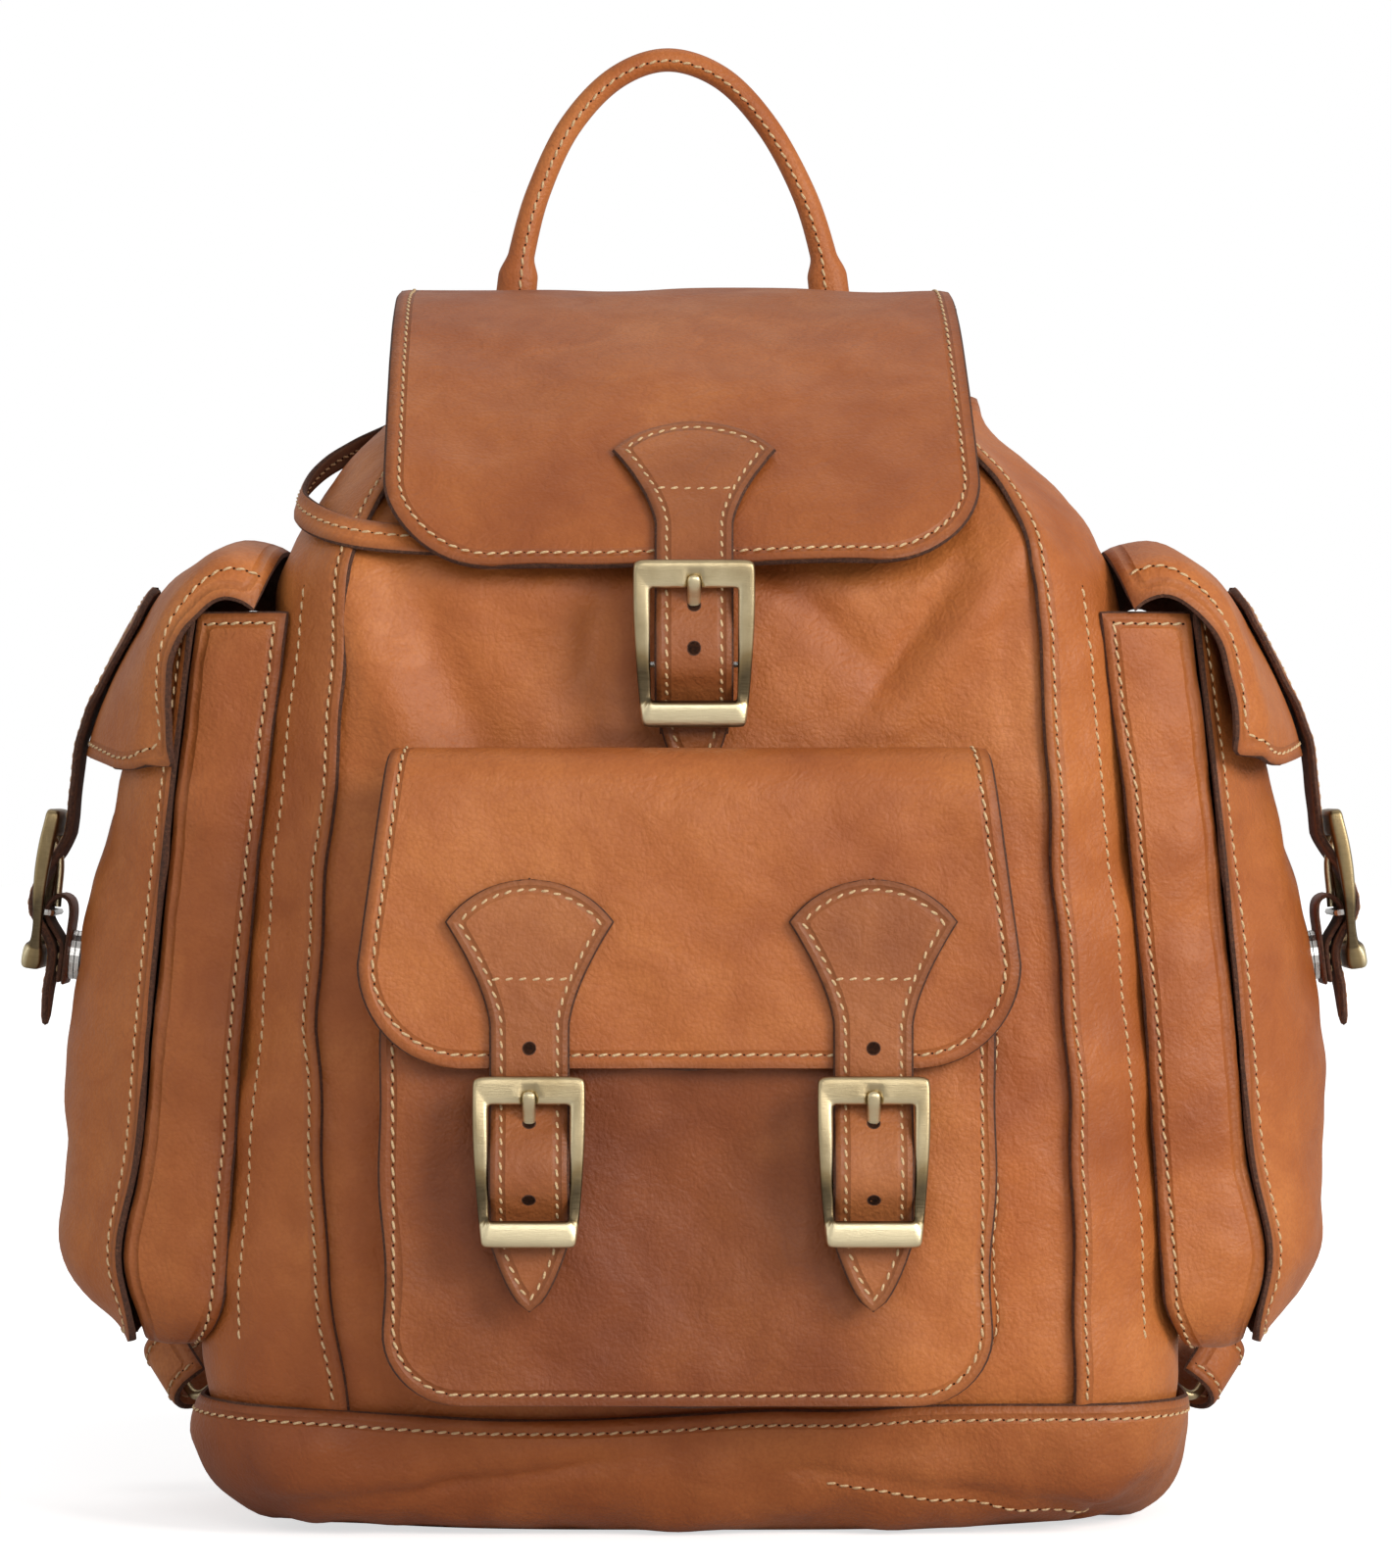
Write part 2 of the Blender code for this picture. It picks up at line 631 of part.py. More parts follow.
def build_frame(closure):
    """The cast frame: pillow-shaped bars lofted round the window, mirrored."""
    half, window = FRAME_HALF + closure.extra, WINDOW_HALF + closure.extra * 0.7
    stations = frame_stations(half, window)
    corners = [(cos(a), sin(a)) for a in np.radians(np.arange(22.5, 360, 45))]
    square = [(abs(c) ** 0.55 * np.sign(c), abs(s) ** 0.55 * np.sign(s)) for c, s in corners]
    mesh = bpy.data.meshes.new("buckle_frame_" + closure.name)
    loft = bmesh.new()
    rings = []
    for outer, inner, middle, thick in stations:
        outer, inner = np.array(outer), np.array(inner)
        ring = []
        for across, rise in square:
            x, y = (outer + inner) / 2 + (outer - inner) / 2 * across
            ring.append(loft.verts.new(Vector((x, y, middle + thick * rise)) * MM))
        rings.append(ring)
    for a, b in zip(rings, rings[1:]):
        for k in range(8):
            after = (k + 1) % 8
            loft.faces.new((a[k], a[after], b[after], b[k]))
    bmesh.ops.recalc_face_normals(loft, faces=loft.faces)
    loft.to_mesh(mesh)
    loft.free()
    item = add_object("buckle_frame_" + closure.name, mesh, BRASS)
    item.matrix_world = closure.matrix(closure.lean)
    mirror = item.modifiers.new("mirror", "MIRROR")
    mirror.merge_threshold = 0.00001
    notch_y = FRAME_TOP - TOP_BAR + 1.6
    notch = [(0, notch_y, 7.4, 0.0, 2.3, 1.5)]
    cut(item, rod_cutter("notch_" + closure.name, notch, closure.matrix(closure.lean)))
    return item


def build_bar(closure):
    """The steel bar: a wire staple whose legs stand on the frame's rails."""
    leg = WINDOW_HALF + closure.extra * 0.7 + 1.8
    rise = 4.6 - 1.6 - GAP - 0.25
    bend = 1.5
    points = [(-leg, 0, rise)]
    points += [(-leg + bend - bend * cos(a), 0, bend - bend * sin(a)) for a in np.linspace(0, pi / 2, 4)]
    points += [(-x, y, n) for x, y, n in reversed(points)]
    item = tube("buckle_bar_" + closure.name, points, BAR_RADIUS, STEEL, 1)
    item.matrix_world = closure.matrix(closure.lean)
    return item


def build_prong(closure):
    """Flat prong: an eye round the bar and a curved tongue, cut from one plate."""
    eye = 1.0 + GAP + 0.05
    rim = eye + 1.3
    tongue = smooth([(y, n) for n, y in PRONG_LINE], 9)
    left, right = offset_path(tongue, PRONG_THICK / 2), offset_path(tongue, -PRONG_THICK / 2)
    start, end = atan2(left[0][1], left[0][0]), atan2(right[0][1], right[0][0]) + 2 * pi
    around = [(rim * cos(a), rim * sin(a)) for a in np.linspace(start + 0.35, end - 0.35, 12)]
    hole = [(eye * cos(a), eye * sin(a)) for a in np.linspace(0.25, 2 * pi - 0.25, 12)]
    item = hooked_plate("prong_" + closure.name, around, hole, [*right, *left[::-1]], PRONG_WIDE / 2, STEEL)
    turn = Matrix(((0, 0, 1, 0), (1, 0, 0, 0), (0, 1, 0, 0), (0, 0, 0, 1)))
    item.matrix_world = closure.matrix(closure.lean) @ turn
    return item


# the chape's middle line as (y, n): from its free end, round the bar and back
CHAPE_BACK = -5.6
CHAPE_LINE = [(-11.5, CHAPE_BACK + 1.6), (-8.0, -2.6), (-3.0, 1.2), (0.0, 2.35), (2.6, 2.1), (5.0, 0.3),
              (5.9, -2.0), (4.4, -4.6), (0.5, CHAPE_BACK), (-6.0, CHAPE_BACK), (-11.5, CHAPE_BACK)]
CHAPE_END = -28.0
STANDOFF = CHAPE_THICK / 2 - CHAPE_BACK + 2 * SNAP_THICK + 3 * GAP   # face behind to bar


def build_chape(closure):
    """Leather loop round the bar, its two ends sewn together below."""
    loop = smooth(CHAPE_LINE, 22)
    outer, inner = offset_path(loop, CHAPE_THICK / 2), offset_path(loop, -CHAPE_THICK / 2)
    back, near = CHAPE_BACK - CHAPE_THICK / 2, CHAPE_BACK + 1.6 + CHAPE_THICK / 2
    tail = [(CHAPE_END, back), (CHAPE_END, near), (-15.5, near)]
    item = hooked_plate("chape_" + closure.name, outer, inner, tail, CHAPE_WIDE / 2, DARK_TAN)
    turn = Matrix(((0, 0, 1, 0), (1, 0, 0, 0), (0, 1, 0, 0), (0, 0, 0, 1)))
    item.matrix_world = closure.matrix(closure.rest) @ turn
    mesh = bpy.data.meshes.new("slot_" + closure.name)
    box = bmesh.new()
    bmesh.ops.create_cube(box, size=1.0, matrix=Matrix.Translation(Vector((0, 2.4, 0.4)) * MM)
                          @ Matrix.Diagonal((4.4 * MM, 12.0 * MM, 10.0 * MM, 1.0)))
    box.to_mesh(mesh)
    box.free()
    slot = add_object("slot_" + closure.name, mesh, STEEL, CUTTERS)
    slot.matrix_world = closure.matrix(closure.rest)
    cut(item, slot)
    return item


def build_snap(closure):
    """Two magnetic snap discs: the cap on the chape, the base on the bag."""
    back = CHAPE_BACK - CHAPE_THICK / 2 - GAP
    for name, top in (("snap_cap_", back), ("snap_base_", back - SNAP_THICK - GAP)):
        mesh = bpy.data.meshes.new(name + closure.name)
        disc = bmesh.new()
        bmesh.ops.create_cone(disc, cap_ends=True, segments=20, radius1=SNAP_RADIUS * MM,
                              radius2=SNAP_RADIUS * MM, depth=SNAP_THICK * MM)
        disc.to_mesh(mesh)
        disc.free()
        item = add_object(name + closure.name, mesh, STEEL)
        item.matrix_world = closure.matrix(closure.rest) @ Matrix.Translation(
            Vector((0, -SNAP_BELOW, top - SNAP_THICK / 2)) * MM)


def hanging_bar(z, lean):
    """Where the main strap's bar sits: leaning out, with its snap on the panel."""
    below = SNAP_BELOW + SNAP_RADIUS
    turn = radians(-lean)
    return front(z) + GAP + STANDOFF * cos(turn) + below * sin(turn), z


def wall_bar(d, z, lean):
    """Where a bar sits when the face behind it passes (d, z) and leans back."""
    return d + STANDOFF * cos(radians(lean)), z + STANDOFF * sin(radians(lean))


MAIN_LEAN = -9.0
SIDE_LEAN = 7.0


def closures():
    front_bar = (POCKET_FACE + STANDOFF, 115.0)
    side_bar = wall_bar(side_face(0, 195.0) + LEATHER / 2 + 0.4, 195.0, SIDE_LEAN)
    main_bar = hanging_bar(275.3, MAIN_LEAN)
    main_tip = [(main_bar[0] - 5.2, 250.0), (main_bar[0] - 6.3, 243.5)]
    front_tip = [(front_bar[0] - 0.9, 88.0), (front_bar[0] - 1.2, 76.5)]
    side_tip = [(side_bar[0] + 2.7, 171.0), (side_bar[0] + 3.8, 160.0)]
    made = [Closure("main", 0.0, main_bar, MAIN_LEAN, MAIN_LEAN, 0, MAIN_PATH, 57.0, MAIN_FRAME_EXTRA, main_tip)]
    for name, across in (("pocket_left", -50.5), ("pocket_right", 55.0)):
        made.append(Closure(name, across, front_bar, 2.0, 0.0, 0, POCKET_PATH, 58.0, 0.0, front_tip))
    for name, heading in (("side_left", -90), ("side_right", 90)):
        across = -SIDE_MIDDLE if heading < 0 else SIDE_MIDDLE
        made.append(Closure(name, across, side_bar, 8.0, SIDE_LEAN, heading, side_path(), 58.0, 0.0, side_tip))
    return made


def build_closures():
    for closure in closures():
        build_strap(closure)
        build_frame(closure)
        build_bar(closure)
        build_prong(closure)
        build_chape(closure)
        build_snap(closure)


# ---------------------------------------------------------------- flaps on the bag
def build_flaps():
    flap("main_flap", MAIN_PATH, 12, 90.0, 93.0, 32.0, place_front)
    flap("front_pocket_flap", POCKET_PATH, 11, FRONT_FLAP_HALF, POCKET_HALF + 6.0, 32.0, place_front)
    for side, name in ((-1, "left"), (1, "right")):
        flap("side_flap_" + name, side_path(), 10, 52.0, SIDE_HALF + 7.5, 26.0, place_side(side), SIDE_DROOP, 11)
    root = smooth(ROOT_PATH, 7)
    sheet("front_flap_root", lambda share, row: place_front(share * FRONT_FLAP_HALF, *root[row]),
          (-1, 0, 1), range(7), LEATHER, TAN)


# ---------------------------------------------------------------- back of the bag
YOKE_LOW = 345.0
YOKE_FACE = BACK + GAP + LEATHER
HANDLE_HINGE = (-YOKE_FACE - GAP - HANDLE_RADIUS, HANDLE_LOW)


def build_yoke():
    """The patch sewn across the back, which carries the handle and the straps."""
    top = MAIN_HINGE[1] - LEATHER / 2 - GAP
    middle = YOKE_FACE - LEATHER / 2
    sheet("back_yoke", lambda share, z: (share * np.interp(z, [YOKE_LOW, top], [72.0, 88.0]), middle, z),
          (-1, 0, 1), (YOKE_LOW, 372.0, top), LEATHER, TAN)


def build_handle():
    """The rolled handle, standing up from its two feet on the back."""
    d, z = HANDLE_HINGE
    half = [(53.5, -d, z - 1.5), (53.5, -d + 0.6, z + 6), (53.4, -d + 2.2, z + 15), (52.6, -d + 3.6, z + 24),
            (48.5, -d + 4.2, z + 44), (38.5, -d + 4.2, z + 67), (22.0, -d + 4.2, z + 87), (0.0, -d + 4.2, z + 96)]
    whole = half + [(-x, y, h) for x, y, h in reversed(half[:-1])]
    return tube("carry_handle", smooth(whole, 25), HANDLE_RADIUS, TAN, 1)


def corner_place(side):
    """Maps (out, along, y) beside a ring to world millimetres; along is the way
    its two leather-carrying bars run."""
    cx, _, cz = RING_CENTRE
    out_x, out_z = RING_OUT

    def place(out, along, y):
        return side * (cx + out_x * out - out_z * along), y, cz + out_z * out + out_x * along
    return place


def build_ring(side, name):
    place = corner_place(side)
    half_out, half_along, turn = RING_SHORT / 2, RING_LONG / 2, RING_CORNER
    points = []
    for quarter, (sx, sy) in enumerate(((1, 1), (-1, 1), (-1, -1), (1, -1))):
        for step in np.linspace(0, pi / 2, 4):
            angle = quarter * pi / 2 + step
            points.append(place(sx * (half_out - turn) + turn * cos(angle),
                                sy * (half_along - turn) + turn * sin(angle), RING_CENTRE[1]))
    tube("corner_ring_" + name, points, RING_WIRE, BRASS, 1, closed=True)


def build_tab(side, name):
    """Leather tab sewn to the back's lower corner, folded round the ring's bar."""
    plane = RING_CENTRE[1]
    middle = -RING_SHORT / 2 + RING_WIRE + TAB_REST - TAB_EYE
    outer_radius = TAB_EYE + TAB_THICK
    low, high = BACK + GAP, BACK + GAP + 2 * TAB_THICK
    turns = np.linspace(-pi + 0.75, pi - 0.5, 14)
    outer = [(middle + outer_radius * cos(a), plane + outer_radius * sin(a)) for a in turns]
    inner = [(middle + TAB_EYE * cos(a), plane + TAB_EYE * sin(a)) for a in np.linspace(-pi + 0.3, pi - 0.3, 14)]
    end = middle - TAB_LONG
    tail = [(middle - outer_radius - 4, high), (end, high), (end, low), (middle - outer_radius, low)]
    item = hooked_plate("ring_tab_" + name, outer, inner, tail, TAB_WIDE / 2, DARK_TAN)
    place = corner_place(side)
    centre = Vector(place(0, 0, 0)) * MM
    out = (Vector(place(1, 0, 0)) - Vector(place(0, 0, 0))).normalized()
    along = out.cross(Vector((0, 1, 0)))
    item.matrix_world = Matrix.Translation(centre) @ Matrix((out, Vector((0, 1, 0)), along)).transposed().to_4x4()


SHOULDER_TOP = (28.0, 374.0)
SHOULDER_BOW = [(2.0, -12.0, 2.2), (5.0, -40.0, 11.0), (13.5, -80.0, 24.0), (27.0, -130.0, 35.0),
                (45.0, -184.0, 40.0), (65.0, -233.0, 37.0), (87.0, -271.0, 28.0), (106.0, -297.0, 17.5)]


def build_shoulder(side, name):
    """Shoulder strap: down the back in a bow, then curled through its ring."""
    place = corner_place(1)
    plane = RING_CENTRE[1]
    top_x, top_z = SHOULDER_TOP
    top_y = YOKE_FACE + SHOULDER_TOP_GAP + SHOULDER_THICK / 2
    down = [(top_x, top_y, top_z)] + [(top_x + x, top_y + y, top_z + z) for x, z, y in SHOULDER_BOW]
    down += [place(-14, 0, plane + SHOULDER_LOOP + 1.4), place(-6, 0, plane + SHOULDER_LOOP + 0.2)]
    middle = RING_SHORT / 2 + RING_WIRE + GAP + SHOULDER_THICK / 2 - SHOULDER_LOOP
    shares = np.concatenate([np.linspace(0, 0.72, 10), np.linspace(0.78, 1.0, 5)])
    main = smooth(down, shares)
    loop = [place(middle + SHOULDER_LOOP * sin(a), 0, plane + SHOULDER_LOOP * cos(a)) for a in np.linspace(0, pi, 8)]
    loop.append(place(1.0, 0, plane - SHOULDER_LOOP))
    path = np.vstack([main, loop])
    along = lengths(path)
    bend = along[len(main) - 1]
    halves = np.interp(along, [0, 40, bend * 0.68, bend * 0.9], [16.0, SHOULDER_WIDE / 2, SHOULDER_WIDE / 2,
                                                               SHOULDER_END_WIDE / 2])
    step = np.gradient(path, axis=0)
    step[len(main) - 1:] = Vector(RING_OUT).to_3d().xzy
    across = np.stack([-step[:, 2], 0 * step[:, 1], step[:, 0]], 1)
    across /= np.linalg.norm(across, axis=1)[:, None]

    def formula(share, row):
        x, y, z = path[row] + share * halves[row] * across[row]
        return side * x, y, z

    sheet("shoulder_strap_" + name, formula, (-1, 0, 1), range(len(path)), SHOULDER_THICK, TAN)


def build_all():
    clear_scene()
    build_base()
    build_body()
    build_drawstring()
    build_front_pocket()
    for side, name in ((-1, "left"), (1, "right")):
        build_side_pocket(side, name)
    build_flaps()
    build_yoke()
    build_handle()
    for side, name in ((-1, "left"), (1, "right")):
        build_ring(side, name)
        build_tab(side, name)
        build_shoulder(side, name)
    build_closures()


build_all()
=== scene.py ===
"""Leather backpack: the finish and the sewn, sagging leather of every piece.

Lengths are in millimetres until a mesh is written, then metres.  +X is the bag's
left-to-right seen from the front, -Y its front, +Z up.  A profile point (d, z) is
d out from the bag's middle plane and z up.  Each leather piece is a surface of two
parameters, given a thickness, a rounded raw edge and its rows of stitches.
"""

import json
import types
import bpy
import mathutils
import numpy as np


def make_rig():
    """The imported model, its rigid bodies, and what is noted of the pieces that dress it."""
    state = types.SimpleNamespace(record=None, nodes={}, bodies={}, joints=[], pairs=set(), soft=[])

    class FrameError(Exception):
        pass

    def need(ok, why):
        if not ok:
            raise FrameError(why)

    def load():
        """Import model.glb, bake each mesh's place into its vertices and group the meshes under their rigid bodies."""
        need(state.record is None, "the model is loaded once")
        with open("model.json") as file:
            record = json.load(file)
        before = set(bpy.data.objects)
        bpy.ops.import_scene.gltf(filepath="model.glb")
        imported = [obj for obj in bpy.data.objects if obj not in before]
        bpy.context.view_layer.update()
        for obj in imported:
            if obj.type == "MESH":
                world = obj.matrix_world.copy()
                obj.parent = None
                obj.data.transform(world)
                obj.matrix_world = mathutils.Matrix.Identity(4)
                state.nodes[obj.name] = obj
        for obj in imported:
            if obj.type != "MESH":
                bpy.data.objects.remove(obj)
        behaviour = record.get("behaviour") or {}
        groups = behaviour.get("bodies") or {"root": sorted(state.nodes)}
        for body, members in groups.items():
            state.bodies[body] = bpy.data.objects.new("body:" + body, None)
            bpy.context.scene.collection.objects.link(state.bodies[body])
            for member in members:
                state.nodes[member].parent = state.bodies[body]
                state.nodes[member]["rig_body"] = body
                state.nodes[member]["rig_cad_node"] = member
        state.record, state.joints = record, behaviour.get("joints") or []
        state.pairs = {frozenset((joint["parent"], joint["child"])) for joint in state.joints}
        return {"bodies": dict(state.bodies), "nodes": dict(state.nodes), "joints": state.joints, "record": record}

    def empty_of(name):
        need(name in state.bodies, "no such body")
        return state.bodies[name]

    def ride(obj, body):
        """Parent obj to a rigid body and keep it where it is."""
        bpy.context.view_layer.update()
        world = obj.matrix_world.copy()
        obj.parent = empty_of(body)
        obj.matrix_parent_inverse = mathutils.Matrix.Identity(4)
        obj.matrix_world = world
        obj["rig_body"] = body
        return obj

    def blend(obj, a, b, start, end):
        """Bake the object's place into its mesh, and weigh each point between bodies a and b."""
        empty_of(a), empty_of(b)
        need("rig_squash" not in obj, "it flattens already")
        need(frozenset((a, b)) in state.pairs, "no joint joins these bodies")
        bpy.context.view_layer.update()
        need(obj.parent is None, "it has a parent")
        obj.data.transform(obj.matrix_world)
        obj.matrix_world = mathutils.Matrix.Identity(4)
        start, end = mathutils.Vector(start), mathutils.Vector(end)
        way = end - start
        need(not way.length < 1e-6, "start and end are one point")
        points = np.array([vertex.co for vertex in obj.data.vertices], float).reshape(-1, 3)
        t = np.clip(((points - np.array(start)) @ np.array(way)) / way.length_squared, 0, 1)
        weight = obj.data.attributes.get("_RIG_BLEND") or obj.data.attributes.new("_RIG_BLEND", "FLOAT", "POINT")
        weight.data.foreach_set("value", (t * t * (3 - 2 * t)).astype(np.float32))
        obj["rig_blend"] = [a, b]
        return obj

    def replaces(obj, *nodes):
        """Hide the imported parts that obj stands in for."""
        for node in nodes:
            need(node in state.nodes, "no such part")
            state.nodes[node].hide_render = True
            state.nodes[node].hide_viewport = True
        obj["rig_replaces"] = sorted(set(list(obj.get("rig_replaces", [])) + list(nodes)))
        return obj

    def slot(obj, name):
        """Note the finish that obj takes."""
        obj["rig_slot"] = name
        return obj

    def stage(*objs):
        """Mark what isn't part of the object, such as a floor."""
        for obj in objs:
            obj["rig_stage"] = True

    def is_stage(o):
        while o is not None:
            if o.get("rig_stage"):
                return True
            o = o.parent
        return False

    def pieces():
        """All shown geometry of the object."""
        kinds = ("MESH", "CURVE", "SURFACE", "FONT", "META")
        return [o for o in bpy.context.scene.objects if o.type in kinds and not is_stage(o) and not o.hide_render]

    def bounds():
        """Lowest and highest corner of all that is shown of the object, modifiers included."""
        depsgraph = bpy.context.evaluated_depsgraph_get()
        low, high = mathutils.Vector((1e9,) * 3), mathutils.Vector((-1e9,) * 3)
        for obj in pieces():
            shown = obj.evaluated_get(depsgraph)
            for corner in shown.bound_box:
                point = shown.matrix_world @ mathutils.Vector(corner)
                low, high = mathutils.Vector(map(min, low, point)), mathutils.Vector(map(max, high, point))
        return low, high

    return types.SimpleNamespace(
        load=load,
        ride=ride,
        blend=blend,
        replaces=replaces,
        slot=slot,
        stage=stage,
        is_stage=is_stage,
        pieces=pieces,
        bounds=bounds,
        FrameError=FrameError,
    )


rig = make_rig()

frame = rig.load()
CAD_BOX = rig.bounds()

import json
from math import cos, pi, radians, sin

import bpy
import numpy as np
from mathutils import Vector

MM = 0.001
LEATHER = 3.0                  # thickness of the large sheets
HALF_THICK = LEATHER / 2       # from a sheet's middle surface to its face
ROW_INSET = 3.4                # a row of stitches runs this far inside a pocket's edge
SEAM_INSET = 3.6               # and inside a body sheet's
FLAP_INSET = 4.2               # and inside a flap's
NO_SEAM = 50.0                 # the distance written where there is no seam or edge
GROOVE_HALF = 1.5              # half the width of the groove that a row of stitches lies in
LINE_STEPS = 40                # points of a smooth curve from one knot to the next
WAVES = 10                     # plane waves in a soft unevenness
TINY = 1e-9
BACK = 75.0                    # from the bag's middle plane to its back
GIRTH = 500.0                  # places round half the bag's outline, mid front to mid back

# the bag's outline by height: its half width, and how far in front of the middle plane it reaches
LEVELS = np.array([40.0, 110.0, 174.0, 238.0, 302.0, 322.0, 342.0, 354.0, 372.0])
HALF_WIDTHS = np.array([157.0, 153.0, 148.0, 141.5, 134.0, 126.0, 111.0, 97.0, 92.0])
FRONTS = np.array([75.0, 75.5, 76.0, 76.0, 75.0, 60.0, 41.0, 26.0, 20.0])
FRONT_CORNER = 38.0
BACK_CORNER = 25.0

SIDE_MIDDLE = 3.0              # the side pockets' middle lies this far in front
SIDES = ((-1, "left"), (1, "right"))


# ---------------------------------------------------------------- curves
class Line:
    """A smooth curve through knots, read by distance along it.

    Between two knots it is the Catmull-Rom cubic of the four nearest ones.
    """

    def __init__(self, knots):
        k = np.asarray(knots, float)
        ends = np.vstack([2 * k[0] - k[1], k, 2 * k[-1] - k[-2]])
        t = np.linspace(0, 1, LINE_STEPS, endpoint=False)[:, None]
        parts = [0.5 * (2 * b + (c - a) * t + (2 * a - 5 * b + 4 * c - d) * t ** 2
                        + (3 * b - a - 3 * c + d) * t ** 3)
                 for a, b, c, d in zip(ends, ends[1:], ends[2:], ends[3:])]
        self.points = np.vstack(parts + [k[-1:]])
        self.at = along(self.points)
        self.long = self.at[-1]

    def __call__(self, s):
        return between(s, self.at, self.points)


def between(wanted, at, table):
    """Each column of a table read at the wanted distances, its rows standing at the distances at."""
    return np.stack([np.interp(wanted, at, column) for column in table.T], -1)


def along(points):
    """Distance from the first point to each point."""
    return np.concatenate([[0.0], np.cumsum(np.linalg.norm(np.diff(points, axis=0), axis=1))])


def evenly(points, step):
    """The polyline's points spread evenly, about step apart."""
    at = along(points)
    return between(np.linspace(0, at[-1], max(2, int(at[-1] / step) + 1)), at, points)


def unit(vectors):
    """The vectors, each made one long."""
    return vectors / np.maximum(np.linalg.norm(vectors, axis=-1, keepdims=True), TINY)


def track(u, v):
    """A line of (u, v) points; u or v may be one number."""
    return np.stack(np.broadcast_arrays(u, v), 1)


def closed_line(points):
    """The points with the first one again at the end."""
    return np.vstack([points, points[:1]])


def quarter(count, first=0.0):
    """Angles from first to a quarter turn."""
    return np.linspace(first, pi / 2, count)


def inset_line(border, distance):
    """The line that runs distance inside a border drawn with its inner side on the right."""
    fine = evenly(np.asarray(border, float), 0.8)
    step = unit(np.gradient(fine, axis=0))
    moved = fine + distance * np.stack([step[:, 1], -step[:, 0]], 1)
    clear = np.linalg.norm(moved[:, None] - fine[None], axis=-1).min(1)
    return evenly(moved[clear > distance * 0.97], 1.0)


def ease(x):
    """0 below 0, 1 above 1 and a smooth step between."""
    x = np.clip(x, 0.0, 1.0)
    return x * x * (3 - 2 * x)


def mound(x, middle, wide):
    """A smooth hump of height 1 about middle."""
    return np.exp(-((x - middle) / wide) ** 2)


def wander(points, long, seed):
    """Soft uneven height: a sum of plane waves about long apart in random directions."""
    draw = np.random.default_rng(seed)
    heading = unit(draw.normal(size=(WAVES, 3)))
    waves = heading * (2 * pi / (long * draw.uniform(0.6, 1.7, (WAVES, 1))))
    phase = draw.uniform(0, 2 * pi, WAVES)
    return np.sin(points @ waves.T + phase).sum(-1) / np.sqrt(WAVES)


# ---------------------------------------------------------------- skins
class Skin:
    """A leather surface: shape(u, v) pushed out along its normal by height(u, v, point).

    The normal is the cross product of the slopes along u and v, times side.
    """

    def __init__(self, shape, side=1.0, height=None, step=0.25):
        self.shape, self.side, self.height, self.step = shape, side, height, step

    def facing(self, surface, u, v):
        h = self.step
        return self.side * unit(np.cross(surface(u + h, v) - surface(u - h, v),
                                         surface(u, v + h) - surface(u, v - h)))

    def __call__(self, u, v):
        point = self.shape(u, v)
        if self.height is None:
            return point
        return point + self.facing(self.shape, u, v) * self.height(u, v, point)[..., None]

    def read(self, u, v):
        return self(u, v), self.facing(self, u, v)


def stand(heading, across):
    """Maps (x beside the middle, d out, z) to the world; heading turns front to a side."""
    turn_c, turn_s = round(cos(radians(heading))), round(sin(radians(heading)))

    def place(x, d, z):
        x = x + across
        return np.stack(np.broadcast_arrays(turn_c * x + turn_s * d, turn_s * x - turn_c * d, z), -1)
    return place


